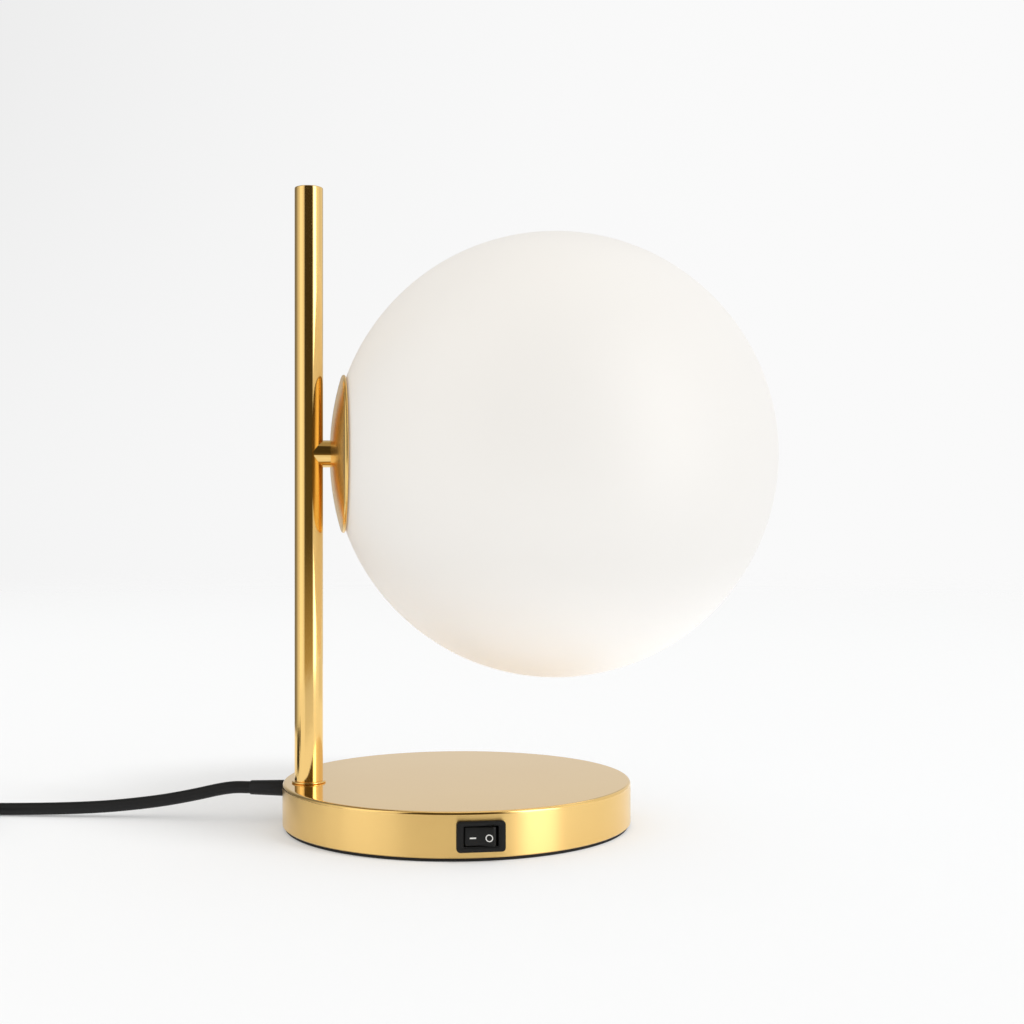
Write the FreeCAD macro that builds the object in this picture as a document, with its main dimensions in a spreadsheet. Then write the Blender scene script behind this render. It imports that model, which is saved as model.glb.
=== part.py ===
import FreeCAD, Part
import math
import os
from types import SimpleNamespace

import Sketcher

# Glass globe table lamp. The origin is the centre of the base's underside, on the table. +Z is up, +X runs
# from the post towards the globe, and -Y is the front, with the switch. Lengths are in millimetres.

SIZES = {
    # Base: a brass shell over a cast ballast, closed by a cover with a soft pad under it.
    "base_radius": 77.5,
    "base_top": 20.0,
    "base_edge": 1.3,
    "base_lower_edge": 0.4,
    "shell_wall": 1.2,
    "pad_thickness": 1.5,
    "pad_inset": 1.0,
    "cover_thickness": 1.2,
    "cover_gap": 0.3,
    "ballast_margin": 25.5,
    "ballast_thickness": 10.0,
    "leg_radius": 6.0,
    "leg_inset": 12.0,
    "stud_radius": 3.0,
    "stud_washer_thickness": 1.2,
    "stud_nut_height": 3.2,
    "stud_nut_radius": 5.77,
    "cover_screw_radius": 2.0,
    "cover_screw_length": 6.0,
    "cover_screw_head_radius": 3.5,
    "cover_screw_head_height": 1.1,
    # Post: a brass tube that stands on a thin ring and is clamped through the base's top.
    "post_inset": 11.5,
    "post_radius": 6.25,
    "post_wall": 1.0,
    "post_top": 282.5,
    "cap_thickness": 1.5,
    "cap_plug": 5.0,
    "cap_edge": 0.5,
    "ring_radius": 7.5,
    "ring_thickness": 0.9,
    "foot_thread_radius": 5.0,
    "foot_bore_radius": 3.75,
    "foot_plug": 12.0,
    "foot_washer_radius": 7.5,
    "foot_washer_thickness": 1.2,
    "foot_nut_radius": 8.08,
    "foot_nut_height": 4.0,
    # Head: the stack that carries the globe, on one level axis through the post.
    "head_height": 165.0,
    "insert_height": 16.0,
    "spigot_radius": 6.0,
    "spigot_edge": 0.7,
    "arm_thread_radius": 4.0,
    "arm_bore_radius": 2.75,
    "arm_thread_end": 1.5,
    "dish_back": 9.5,
    "dish_radius": 35.0,
    "dish_curve": 120.0,
    "dish_flat": 8.0,
    "dish_wall": 1.0,
    "dish_rim": 1.7,
    "spacer_radius": 7.4,
    "spacer_thickness": 2.6,
    "carrier_radius": 24.0,
    "carrier_wall": 1.5,
    "carrier_length": 11.5,
    "bracket_radius": 12.0,
    "bracket_sheet": 1.0,
    "bracket_height": 9.0,
    "bracket_width": 6.0,
    "bracket_span": 20.0,
    "head_washer_radius": 6.8,
    "head_washer_thickness": 0.8,
    "head_nut_radius": 6.93,
    "head_nut_height": 3.5,
    "holder_width": 20.0,
    "holder_height": 13.0,
    "holder_length": 18.0,
    "holder_screw_radius": 1.5,
    "holder_screw_length": 6.0,
    "holder_screw_spacing": 13.0,
    "holder_screw_head_radius": 2.4,
    "holder_screw_head_height": 1.6,
    # Bulb: a push-in capsule with two flat contact loops.
    "bulb_radius": 6.5,
    "bulb_stem_radius": 5.4,
    "bulb_stem": 7.0,
    "bulb_length": 47.0,
    "pin_spacing": 9.0,
    "pin_width": 2.6,
    "pin_thickness": 1.0,
    "pin_length": 8.5,
    "slot_extra_depth": 1.5,
    # Globe: opal glass on a threaded ring that screws onto the carrier.
    "globe_radius": 100.0,
    "globe_wall": 2.5,
    "collar_wall": 2.6,
    "collar_length": 10.0,
    "collar_flange_radius": 29.5,
    "collar_flange": 1.5,
    "collar_start": 2.0,
    # Switch: a rocker in a bezel on the front of the base.
    "switch_height": 10.5,
    "bezel_width": 20.0,
    "bezel_height": 13.0,
    "bezel_corner": 1.5,
    "bezel_proud": 1.7,
    "window_width": 14.1,
    "window_height": 8.2,
    "switch_body_width": 18.0,
    "switch_body_height": 11.2,
    "switch_depth": 15.0,
    "switch_cavity": 9.0,
    "clip_reach": 0.8,
    "clip_gap": 0.3,
    "clip_length": 4.0,
    "clip_width": 5.0,
    "rocker_half": 6.6,
    "rocker_crest_half": 5.5,
    "rocker_crest": 4.6,
    "rocker_valley": 3.6,
    "rocker_shoulder": 2.0,
    "rocker_root": 2.0,
    "rocker_pivot_depth": 3.8,
    "rocker_pin_radius": 1.0,
    "rocker_pin_length": 0.9,
    "rocker_angle": 8.5,
    "terminal_spacing": 8.0,
    "terminal_thickness": 0.8,
    "terminal_width": 4.8,
    "terminal_length": 7.0,
    # Mains cord with its bush in the base's wall, and the plug on its far end.
    "cord_radius": 2.8,
    "cord_height": 14.2,
    "cord_angle": 165.5,
    "cord_inside": 11.5,
    "bush_radius": 3.7,
    "bush_flange_radius": 4.4,
    "bush_flange": 1.4,
    "bush_tail": 17.2,
    "bush_tip_radius": 3.1,
    "turn_pitch": 6.1,
    "coil_outer": 44.4,
    "coil_layer_turns": 3.397,
    "plug_width": 35.3,
    "plug_thickness": 13.7,
    "plug_length": 34.0,
    "plug_neck": 9.0,
    "plug_straight": 12.0,
    "plug_relief": 12.0,
    "plug_pin_radius": 2.0,
    "plug_pin_length": 19.0,
    "plug_pin_spacing": 18.6,
    # Inner wiring.
    "wire_radius": 1.0,
    "wire_bend": 3.0,
    "block_length": 18.0,
    "block_width": 12.0,
    "block_height": 10.0,
    "block_margin": 13.5,
    "block_angle": 222.0,
    # Fits: the gap round a part that is fixed, and round one that moves.
    "fixed_gap": 0.1,
    "moving_gap": 0.3,
    "pin_gap": 0.05,
}

# The free cord's route, as places of its centreline. It starts where the cord leaves its bush.
CORD_HEIGHT = SIZES["cord_height"]
FLOOR = SIZES["cord_radius"]
CORD_ANGLE = math.radians(SIZES["cord_angle"])
CORD_START = SIZES["base_radius"] + SIZES["bush_tail"]
CORD_ROUTE = [
    (CORD_START * math.cos(CORD_ANGLE), CORD_START * math.sin(CORD_ANGLE), CORD_HEIGHT),
    ((CORD_START + 10) * math.cos(CORD_ANGLE), (CORD_START + 10) * math.sin(CORD_ANGLE), CORD_HEIGHT),
    (-118.3, 30.0, 10.1),
    (-135.8, 33.7, 6.9),
    (-162.6, 39.4, 4.0),
    (-201.5, 48.2, FLOOR),
    (-240.0, 57.2, FLOOR),
]

doc = FreeCAD.newDocument("globe_table_lamp")
sheet = doc.addObject("Spreadsheet::Sheet", "Sizes")
for row, (name, value) in enumerate(SIZES.items(), start=1):
    sheet.set(f"A{row}", name.replace("_", " "))
    sheet.set(f"B{row}", str(value))
    sheet.setAlias(f"B{row}", name)
doc.recompute()

ALONG_X = FreeCAD.Rotation(FreeCAD.Vector(0, 1, 0), 90)
ALONG_MINUS_Y = FreeCAD.Rotation(FreeCAD.Vector(1, 0, 0), 90)
pieces = {}


class Size:
    """A length and the sheet expression that gives it, worked out together."""

    def __init__(self, value, text=None):
        self.value = float(value)
        self.text = text or f"{float(value):.6f}"

    def __add__(self, other):
        other = as_size(other)
        return Size(self.value + other.value, f"({self.text} + {other.text})")

    def __radd__(self, other):
        return as_size(other) + self

    def __sub__(self, other):
        other = as_size(other)
        return Size(self.value - other.value, f"({self.text} - {other.text})")

    def __rsub__(self, other):
        return as_size(other) - self

    def __mul__(self, other):
        other = as_size(other)
        return Size(self.value * other.value, f"({self.text} * {other.text})")

    def __rmul__(self, other):
        return as_size(other) * self

    def __truediv__(self, other):
        other = as_size(other)
        return Size(self.value / other.value, f"({self.text} / {other.text})")

    def __neg__(self):
        return Size(-self.value, f"(0 - {self.text})")

    def root(self):
        return Size(math.sqrt(self.value), f"sqrt({self.text})")


def as_size(number):
    return number if isinstance(number, Size) else Size(number)


s = SimpleNamespace(**{name: Size(value, f"Sizes.{name}") for name, value in SIZES.items()})


def leg(hypotenuse, side):
    """The other short side of a right triangle."""
    return (hypotenuse * hypotenuse - side * side).root()


# Places that several pieces share.
shell_inner = s.base_radius - s.shell_wall
ballast_radius = s.base_radius - s.ballast_margin
leg_circle = ballast_radius - s.leg_inset
post_x = s.post_inset - s.base_radius
top_under = s.base_top - s.shell_wall
cover_top = s.pad_thickness + s.cover_thickness
ballast_bottom = top_under - s.ballast_thickness
post_bottom = s.base_top + s.ring_thickness
post_bore = s.post_radius - s.post_wall
tube_top = s.post_top - s.cap_thickness
foot_nut_bottom = top_under - s.foot_washer_thickness - s.foot_nut_height

dish_x = post_x + s.dish_back
dish_inside = dish_x + s.dish_wall
carrier_x = dish_inside + s.spacer_thickness
carrier_face = carrier_x + s.carrier_wall
bracket_face = carrier_face + s.bracket_sheet
head_washer_face = bracket_face + s.head_washer_thickness
head_nut_face = head_washer_face + s.head_nut_height
bracket_top = bracket_face + s.bracket_height
holder_front = bracket_top + s.holder_length
bulb_x = holder_front + s.moving_gap

# The globe's place follows from the dish, whose lip stands just clear of the glass.
dish_shoulder = s.dish_radius - s.dish_wall
dish_lip = s.dish_radius - s.dish_wall * 1.5
dish_shoulder_x = dish_x + leg(s.dish_curve, s.dish_flat) - leg(s.dish_curve, dish_shoulder)
dish_front = dish_shoulder_x + s.dish_rim
globe_x = dish_front + leg(s.globe_radius + s.moving_gap, dish_lip)
globe_inner = s.globe_radius - s.globe_wall
collar_inner = s.carrier_radius + s.moving_gap
collar_outer = collar_inner + s.collar_wall
mouth_radius = collar_outer + s.moving_gap
collar_x = carrier_x + s.collar_start

switch_face = -s.base_radius - s.bezel_proud
pivot_y = switch_face + s.rocker_pivot_depth
block_circle = s.base_radius - s.block_margin
cord_inner_end = s.base_radius - s.cord_inside


def bind(item, **sizes):
    """Binds properties of an object to the sheet."""
    for name, size in sizes.items():
        item.setExpression(name, as_size(size).text)
    return item


def put(item, x=0, y=0, z=0, turn=None):
    """Places an object, with its position bound to the sheet."""
    item.Placement = FreeCAD.Placement(FreeCAD.Vector(), turn or FreeCAD.Rotation())
    for axis, size in (("x", x), ("y", y), ("z", z)):
        item.setExpression(f"Placement.Base.{axis}", as_size(size).text)
    return item


def primitive(kind, name, place, turn=None, **sizes):
    item = bind(doc.addObject(f"Part::{kind}", name), **sizes)
    return put(item, *place, turn=turn)


def rod(name, radius, length, place, turn=None):
    return primitive("Cylinder", name, place, turn, Radius=radius, Height=length)


def block(name, size, place):
    """A box centred on place in X and Z, with its low Y face there."""
    width, depth, height = (as_size(part) for part in size)
    x, y, z = (as_size(part) for part in place)
    low = (x - width / 2, y, z - height / 2)
    return primitive("Box", name, low, Length=width, Width=depth, Height=height)


def cut(name, base, *tools):
    """The base with each tool cut out of it."""
    for number, tool in enumerate(tools, start=1):
        last = number == len(tools)
        result = doc.addObject("Part::Cut", name if last else f"{name}_step_{number}")
        result.Base = base
        result.Tool = tool
        base = result
    return base


def joined(name, *shapes):
    result = doc.addObject("Part::MultiFuse", name)
    result.Shapes = list(shapes)
    return result


def group(name, members):
    """Separate solids that share one node."""
    result = doc.addObject("Part::Compound", name)
    result.Links = list(members)
    return result


def piece(node, item):
    item.Label = node
    pieces[node] = item
    return item


def plane_of(body, role):
    return next(item for item in body.Origin.OriginFeatures if item.Role == role)


def sketch_of(body, name, role, corners):
    """A closed outline on one of the body's planes. A corner is (x, y), or (x, y, radius) where an arc runs
    from it to the next corner. A negative radius is an arc that turns clockwise."""
    sketch = body.newObject("Sketcher::SketchObject", name)
    sketch.AttachmentSupport = (plane_of(body, role), [""])
    sketch.MapMode = "FlatFace"
    spots = [(as_size(corner[0]), as_size(corner[1])) for corner in corners]
    edges = []
    for number, corner in enumerate(corners):
        here = FreeCAD.Vector(spots[number][0].value, spots[number][1].value, 0)
        after = spots[(number + 1) % len(corners)]
        there = FreeCAD.Vector(after[0].value, after[1].value, 0)
        if len(corner) == 2:
            edges.append((sketch.addGeometry(Part.LineSegment(here, there), False), 1, 2))
            continue
        radius = abs(as_size(corner[2]).value)
        clockwise = as_size(corner[2]).value < 0
        half = (there - here) * 0.5
        side = FreeCAD.Vector(-half.y, half.x, 0).normalize() * math.sqrt(max(radius**2 - half.Length**2, 0))
        centre = here + half + (side * -1 if clockwise else side)
        ends = (there, here) if clockwise else (here, there)
        start, stop = (math.atan2(end.y - centre.y, end.x - centre.x) for end in ends)
        stop += 2 * math.pi if stop <= start else 0
        circle = Part.Circle(centre, FreeCAD.Vector(0, 0, 1), radius)
        edge = sketch.addGeometry(Part.ArcOfCircle(circle, start, stop), False)
        edges.append((edge, 2, 1) if clockwise else (edge, 1, 2))
        bound = sketch.addConstraint(Sketcher.Constraint("Radius", edge, radius))
        sketch.setExpression(f"Constraints[{bound}]", (-corner[2] if clockwise else as_size(corner[2])).text)
    for number, (edge, first, _) in enumerate(edges):
        before = edges[number - 1]
        sketch.addConstraint(Sketcher.Constraint("Coincident", before[0], before[2], edge, first))
        for kind, size in zip(("DistanceX", "DistanceY"), spots[number]):
            bound = sketch.addConstraint(Sketcher.Constraint(kind, -1, 1, edge, first, size.value))
            sketch.setExpression(f"Constraints[{bound}]", size.text)
    return sketch


def turned(name, axis, corners, place=(0, 0, 0), turn=None):
    """A turned piece: an outline in the XZ plane, revolved about X or Z."""
    body = doc.addObject("PartDesign::Body", name)
    sketch = sketch_of(body, f"{name}_profile", "XZ_Plane", corners)
    revolution = body.newObject("PartDesign::Revolution", f"{name}_revolution")
    revolution.Profile = sketch
    revolution.ReferenceAxis = (sketch, ["H_Axis" if axis == "X" else "V_Axis"])
    revolution.Angle = 360
    sketch.Visibility = False
    return put(body, *place, turn=turn)


def padded(name, role, corners, length, place=(0, 0, 0), turn=None, midplane=False):
    """A flat outline given a thickness."""
    body = doc.addObject("PartDesign::Body", name)
    sketch = sketch_of(body, f"{name}_outline", role, corners)
    pad = body.newObject("PartDesign::Pad", f"{name}_pad")
    pad.Profile = sketch
    bind(pad, Length=length)
    pad.Midplane = midplane
    return put(body, *place, turn=turn)


def ring(name, inner, outer, thickness, place=(0, 0, 0), turn=None):
    """A flat ring or disc that stands on its place."""
    corners = [(inner, 0), (outer, 0), (outer, thickness), (inner, thickness)]
    return turned(name, "Z", corners, place, turn)


def nut(name, corner_radius, bore, height, place, turn=None):
    prism = primitive("Prism", f"{name}_hexagon", place, turn, Circumradius=corner_radius, Height=height)
    prism.Polygon = 6
    return cut(name, prism, rod(f"{name}_bore", bore, height, place, turn))


def rounded_rectangle(width, height, radius):
    """Corners of a rectangle about the origin, with an arc at each."""
    x, y = width / 2, height / 2
    return [
        (x - radius, -y, radius),
        (x, radius - y),
        (x, y - radius, radius),
        (x - radius, y),
        (radius - x, y, radius),
        (-x, y - radius),
        (-x, radius - y, radius),
        (radius - x, -y),
    ]


def round_about(count, radius):
    """Places evenly round a circle about the origin, as sizes."""
    for number in range(count):
        angle = math.radians(90 + 360 * number / count)
        yield radius * round(math.cos(angle), 9), radius * round(math.sin(angle), 9)


# --- Base ---


def make_base():
    """The shell, its ballast on a welded stud, and the cover and pad below."""
    shell = turned(
        "shell_blank",
        "Z",
        [
            (shell_inner, s.pad_thickness),
            (s.base_radius - s.base_lower_edge, s.pad_thickness),
            (s.base_radius, s.pad_thickness + s.base_lower_edge),
            (s.base_radius, s.base_top - s.base_edge, s.base_edge),
            (s.base_radius - s.base_edge, s.base_top),
            (0, s.base_top),
            (0, top_under),
            (shell_inner, top_under),
        ],
    )
    post_hole = rod("post_hole", s.foot_thread_radius + s.fixed_gap, s.base_top, (post_x, 0, s.pad_thickness))
    window = block(
        "switch_window",
        (s.switch_body_width + 2 * s.fixed_gap, s.shell_wall * 4, s.switch_body_height + 2 * s.fixed_gap),
        (0, -s.base_radius - s.shell_wall, s.switch_height),
    )
    hole_turn = FreeCAD.Rotation(FreeCAD.Vector(0, 0, 1), SIZES["cord_angle"]).multiply(ALONG_X)
    hole_radius = s.bush_radius + s.fixed_gap
    cord_hole = rod("cord_hole", hole_radius, s.base_radius * 1.1, (0, 0, s.cord_height), hole_turn)
    piece("base_shell", cut("base_shell", shell, post_hole, window, cord_hole))

    disc = rod("ballast_disc", ballast_radius, s.ballast_thickness, (0, 0, ballast_bottom))
    leg_height = ballast_bottom - cover_top
    spots = list(round_about(3, leg_circle))
    legs = [
        rod(f"ballast_leg_{number}", s.leg_radius, leg_height, (*spot, cover_top))
        for number, spot in enumerate(spots)
    ]
    stud_hole = rod("ballast_hole", s.stud_radius + s.fixed_gap, s.base_top, (0, 0, cover_top))
    screw_hole = s.cover_screw_radius + s.fixed_gap
    tapped = [
        rod(f"leg_hole_{number}", screw_hole, s.cover_screw_length, (*spot, cover_top))
        for number, spot in enumerate(spots)
    ]
    blank = joined("ballast_blank", disc, *legs)
    piece("base_ballast", cut("base_ballast", blank, stud_hole, *tapped))

    washer_bottom = ballast_bottom - s.stud_washer_thickness
    nut_bottom = washer_bottom - s.stud_nut_height
    bore = s.stud_radius + s.fixed_gap
    piece("ballast_stud", rod("ballast_stud", s.stud_radius, top_under - nut_bottom, (0, 0, nut_bottom)))
    washer = ring("ballast_washer", bore, s.stud_nut_radius, s.stud_washer_thickness, (0, 0, washer_bottom))
    piece("ballast_washer", washer)
    piece("ballast_nut", nut("ballast_nut", s.stud_nut_radius, bore, s.stud_nut_height, (0, 0, nut_bottom)))

    cover = rod("cover_disc", shell_inner - s.cover_gap, s.cover_thickness, (0, 0, s.pad_thickness))
    pad = rod("pad_disc", s.base_radius - s.pad_inset, s.pad_thickness, (0, 0, 0))
    holes = [rod(f"cover_hole_{n}", bore, cover_top, (*spot, 0)) for n, spot in enumerate(spots)]
    head_room = s.cover_screw_head_radius + 2 * s.moving_gap
    pockets = [rod(f"pad_hole_{n}", head_room, s.pad_thickness, (*spot, 0)) for n, spot in enumerate(spots)]
    piece("bottom_cover", cut("bottom_cover", cover, *holes))
    piece("foot_pad", cut("foot_pad", pad, *pockets))

    screws = []
    for number, spot in enumerate(spots):
        head_bottom = s.pad_thickness - s.cover_screw_head_height
        length = s.cover_screw_head_height + s.cover_thickness + s.cover_screw_length
        shank = rod(f"cover_shank_{number}", s.cover_screw_radius, length, (*spot, head_bottom))
        head_size = (s.cover_screw_head_radius, s.cover_screw_head_height)
        head = rod(f"cover_head_{number}", *head_size, (*spot, head_bottom))
        screws.append(joined(f"cover_screw_{number}", shank, head))
    piece("cover_screws", group("cover_screws", screws))


# --- Post ---


def make_post():
    """The tube on its ring, the threaded foot with washer and nut, the cap, and the insert for the arm."""
    edge = s.ring_thickness / 2
    foot_hole = s.foot_thread_radius + s.fixed_gap
    piece(
        "post_foot_ring",
        turned(
            "post_foot_ring",
            "Z",
            [
                (foot_hole, 0),
                (s.ring_radius - edge, 0, edge),
                (s.ring_radius, edge, edge),
                (s.ring_radius - edge, s.ring_thickness),
                (foot_hole, s.ring_thickness),
            ],
            (post_x, 0, s.base_top),
        ),
    )

    tube = ring("tube_blank", post_bore, s.post_radius, tube_top - post_bottom, (post_x, 0, post_bottom))
    thread_hole = s.arm_thread_radius + s.fixed_gap
    arm_hole = rod("arm_hole", thread_hole, s.post_radius * 2, (post_x, 0, s.head_height), ALONG_X)
    piece("post_tube", cut("post_tube", tube, arm_hole))

    plug_radius = post_bore - s.pin_gap
    piece(
        "post_foot",
        turned(
            "post_foot",
            "Z",
            [
                (s.foot_bore_radius, foot_nut_bottom - 1),
                (s.foot_thread_radius, foot_nut_bottom - 1),
                (s.foot_thread_radius, post_bottom),
                (plug_radius, post_bottom),
                (plug_radius, post_bottom + s.foot_plug),
                (s.foot_bore_radius, post_bottom + s.foot_plug),
            ],
            (post_x, 0, 0),
        ),
    )
    washer_bottom = foot_nut_bottom + s.foot_nut_height
    washer_size = (foot_hole, s.foot_washer_radius, s.foot_washer_thickness)
    piece("post_washer", ring("post_washer", *washer_size, (post_x, 0, washer_bottom)))
    nut_size = (s.foot_nut_radius, foot_hole, s.foot_nut_height)
    piece("post_nut", nut("post_nut", *nut_size, (post_x, 0, foot_nut_bottom)))

    piece(
        "post_cap",
        turned(
            "post_cap",
            "Z",
            [
                (0, tube_top - s.cap_plug),
                (plug_radius, tube_top - s.cap_plug),
                (plug_radius, tube_top),
                (s.post_radius, tube_top),
                (s.post_radius, s.post_top - s.cap_edge, s.cap_edge),
                (s.post_radius - s.cap_edge, s.post_top),
                (0, s.post_top),
            ],
            (post_x, 0, 0),
        ),
    )

    insert_bottom = s.head_height - s.insert_height / 2
    insert = rod("insert_blank", plug_radius, s.insert_height, (post_x, 0, insert_bottom))
    wire_way = rod("insert_way", s.arm_bore_radius, s.insert_height / 2, (post_x, 0, insert_bottom))
    tapped_radius = s.arm_thread_radius + s.pin_gap
    tapped = rod("insert_thread", tapped_radius, s.post_radius, (post_x, 0, s.head_height), ALONG_X)
    piece("post_insert", cut("post_insert", insert, wire_way, tapped))


# --- Head: what carries the globe ---


def make_head():
    """From the post outwards on one hollow thread: spigot, dish, spacer, threaded carrier, washer, nut."""
    on_head = (0, 0, s.head_height)
    arm_hole = s.arm_thread_radius + s.fixed_gap
    blank = turned(
        "spigot_blank",
        "X",
        [
            (post_x, arm_hole),
            (dish_x, arm_hole),
            (dish_x, s.spigot_radius - s.spigot_edge),
            (dish_x - s.spigot_edge, s.spigot_radius),
            (post_x, s.spigot_radius),
        ],
        on_head,
    )
    saddle_place = (post_x, 0, s.head_height - 2 * s.spigot_radius)
    saddle = rod("spigot_saddle", s.post_radius + s.pin_gap, s.spigot_radius * 4, saddle_place)
    piece("side_spigot", cut("side_spigot", blank, saddle))

    piece(
        "arm_nipple",
        turned(
            "arm_nipple",
            "X",
            [
                (post_x + s.arm_bore_radius + s.pin_gap, s.arm_bore_radius),
                (head_nut_face + s.arm_thread_end, s.arm_bore_radius),
                (head_nut_face + s.arm_thread_end, s.arm_thread_radius),
                (post_x + s.arm_bore_radius + s.pin_gap, s.arm_thread_radius),
            ],
            on_head,
        ),
    )

    # The dish is a shallow cap, flat where it is clamped. Its rounded edge stands just clear of the glass.
    inner_curve = s.dish_curve - s.dish_wall
    inner_x = dish_inside + leg(inner_curve, s.dish_flat) - leg(inner_curve, dish_lip)
    rim_back = dish_front - s.dish_rim / 2
    piece(
        "dish",
        turned(
            "dish",
            "X",
            [
                (dish_x, arm_hole),
                (dish_inside, arm_hole),
                (dish_inside, s.dish_flat, -inner_curve),
                (inner_x, dish_lip),
                (dish_front, dish_lip),
                (dish_front, s.dish_radius - s.dish_wall / 2, s.dish_rim / 2 + s.dish_wall / 2),
                (rim_back, s.dish_radius, s.dish_rim),
                (dish_shoulder_x, dish_shoulder, s.dish_curve),
                (dish_x, s.dish_flat),
            ],
            on_head,
        ),
    )

    spacer_size = (arm_hole, s.spacer_radius, s.spacer_thickness)
    piece("dish_spacer", ring("dish_spacer", *spacer_size, (dish_inside, 0, s.head_height), ALONG_X))
    ring_inner = s.carrier_radius - s.carrier_wall
    piece(
        "globe_carrier",
        turned(
            "globe_carrier",
            "X",
            [
                (carrier_x, arm_hole),
                (carrier_x, s.carrier_radius),
                (carrier_x + s.carrier_length, s.carrier_radius),
                (carrier_x + s.carrier_length, ring_inner),
                (carrier_face, ring_inner),
                (carrier_face, arm_hole),
            ],
            on_head,
        ),
    )
    washer_size = (arm_hole, s.head_washer_radius, s.head_washer_thickness)
    piece("head_washer", ring("head_washer", *washer_size, (bracket_face, 0, s.head_height), ALONG_X))
    nut_size = (s.head_nut_radius, arm_hole, s.head_nut_height)
    piece("head_nut", nut("head_nut", *nut_size, (head_washer_face, 0, s.head_height), ALONG_X))


def make_holder():
    """The bracket that stands over the nut, and the ceramic holder screwed to it."""
    half_span = s.bracket_span / 2
    disc = rod("bracket_disc", s.bracket_radius, s.bracket_sheet, (carrier_face, 0, s.head_height), ALONG_X)
    legs = [
        block(
            f"bracket_leg_{number}",
            (s.bracket_height, s.bracket_sheet, s.bracket_width),
            (bracket_face + s.bracket_height / 2, side, s.head_height),
        )
        for number, side in enumerate((-half_span, half_span - s.bracket_sheet))
    ]
    strap = block(
        "bracket_strap",
        (s.bracket_sheet, s.bracket_span, s.bracket_width),
        (bracket_top - s.bracket_sheet / 2, -half_span, s.head_height),
    )
    blank = joined("bracket_blank", disc, strap, *legs)

    def bar(name, radius, depth, x, y=0):
        """A round bar along the head's axis, from x."""
        return rod(name, radius, depth, (x, y, s.head_height), ALONG_X)

    strap_x = bracket_top - s.bracket_sheet
    arm_hole = bar("bracket_hole", s.arm_thread_radius + s.fixed_gap, s.bracket_sheet, carrier_face)
    wire_hole = bar("bracket_wire_hole", s.arm_bore_radius, s.bracket_sheet, strap_x)
    sides = (-s.holder_screw_spacing / 2, s.holder_screw_spacing / 2)
    screw_hole = s.holder_screw_radius + s.fixed_gap
    strap_holes = [
        bar(f"strap_hole_{number}", screw_hole, s.bracket_sheet, strap_x, side)
        for number, side in enumerate(sides)
    ]
    piece("holder_bracket", cut("holder_bracket", blank, arm_hole, wire_hole, *strap_holes))

    holder = padded(
        "holder_blank",
        "YZ_Plane",
        rounded_rectangle(s.holder_width, s.holder_height, s.holder_height / 4),
        s.holder_length,
        (bracket_top, 0, s.head_height),
    )
    slot_depth = s.pin_length + s.slot_extra_depth
    slots = [
        block(
            f"holder_slot_{number}",
            (slot_depth, s.pin_width + 2 * s.moving_gap, s.pin_thickness + 2 * s.moving_gap),
            (holder_front - slot_depth / 2, side - s.pin_width / 2 - s.moving_gap, s.head_height),
        )
        for number, side in enumerate((-s.pin_spacing / 2, s.pin_spacing / 2))
    ]
    tapped = [
        bar(f"holder_hole_{number}", screw_hole, s.holder_screw_length, bracket_top, side)
        for number, side in enumerate(sides)
    ]
    piece("lampholder", cut("lampholder", holder, *slots, *tapped))

    screws = []
    for number, side in enumerate(sides):
        head_x = strap_x - s.holder_screw_head_height
        length = s.holder_screw_head_height + s.bracket_sheet + s.holder_screw_length - s.moving_gap
        shank = bar(f"holder_shank_{number}", s.holder_screw_radius, length, head_x, side)
        head_size = (s.holder_screw_head_radius, s.holder_screw_head_height)
        head = bar(f"holder_head_{number}", *head_size, head_x, side)
        screws.append(joined(f"holder_screw_{number}", shank, head))
    piece("holder_screws", group("holder_screws", screws))


def make_bulb():
    """A frosted capsule bulb that pushes into the holder."""
    dome = bulb_x + s.bulb_length - s.bulb_radius
    piece(
        "bulb",
        turned(
            "bulb",
            "X",
            [
                (bulb_x, 0),
                (bulb_x + s.bulb_length, 0, s.bulb_radius),
                (dome, s.bulb_radius),
                (bulb_x + s.bulb_stem + 1, s.bulb_radius),
                (bulb_x + s.bulb_stem, s.bulb_stem_radius),
                (bulb_x, s.bulb_stem_radius),
            ],
            (0, 0, s.head_height),
        ),
    )
    pins = [
        block(
            f"bulb_pin_{number}",
            (s.pin_length, s.pin_width, s.pin_thickness),
            (bulb_x - s.pin_length / 2, side - s.pin_width / 2, s.head_height),
        )
        for number, side in enumerate((-s.pin_spacing / 2, s.pin_spacing / 2))
    ]
    piece("bulb_pins", group("bulb_pins", pins))


def make_globe():
    """The glass sphere, open where its threaded ring is glued in."""
    mouth_outer = globe_x - leg(s.globe_radius, mouth_radius)
    mouth_inner = globe_x - leg(globe_inner, mouth_radius)
    piece(
        "glass_globe",
        turned(
            "glass_globe",
            "X",
            [
                (mouth_outer, mouth_radius, -s.globe_radius),
                (globe_x + s.globe_radius, 0),
                (globe_x + globe_inner, 0, globe_inner),
                (mouth_inner, mouth_radius),
            ],
            (0, 0, s.head_height),
        ),
    )
    flange_x = globe_x - leg(globe_inner - s.moving_gap, s.collar_flange_radius)
    collar_end = collar_x + s.collar_length
    piece(
        "globe_collar",
        turned(
            "globe_collar",
            "X",
            [
                (collar_x, collar_inner),
                (collar_x, collar_outer),
                (flange_x, collar_outer),
                (flange_x, s.collar_flange_radius),
                (flange_x + s.collar_flange, s.collar_flange_radius),
                (flange_x + s.collar_flange, collar_outer),
                (collar_end, collar_outer),
                (collar_end, collar_inner),
            ],
            (0, 0, s.head_height),
        ),
    )


# --- Switch ---


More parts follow.
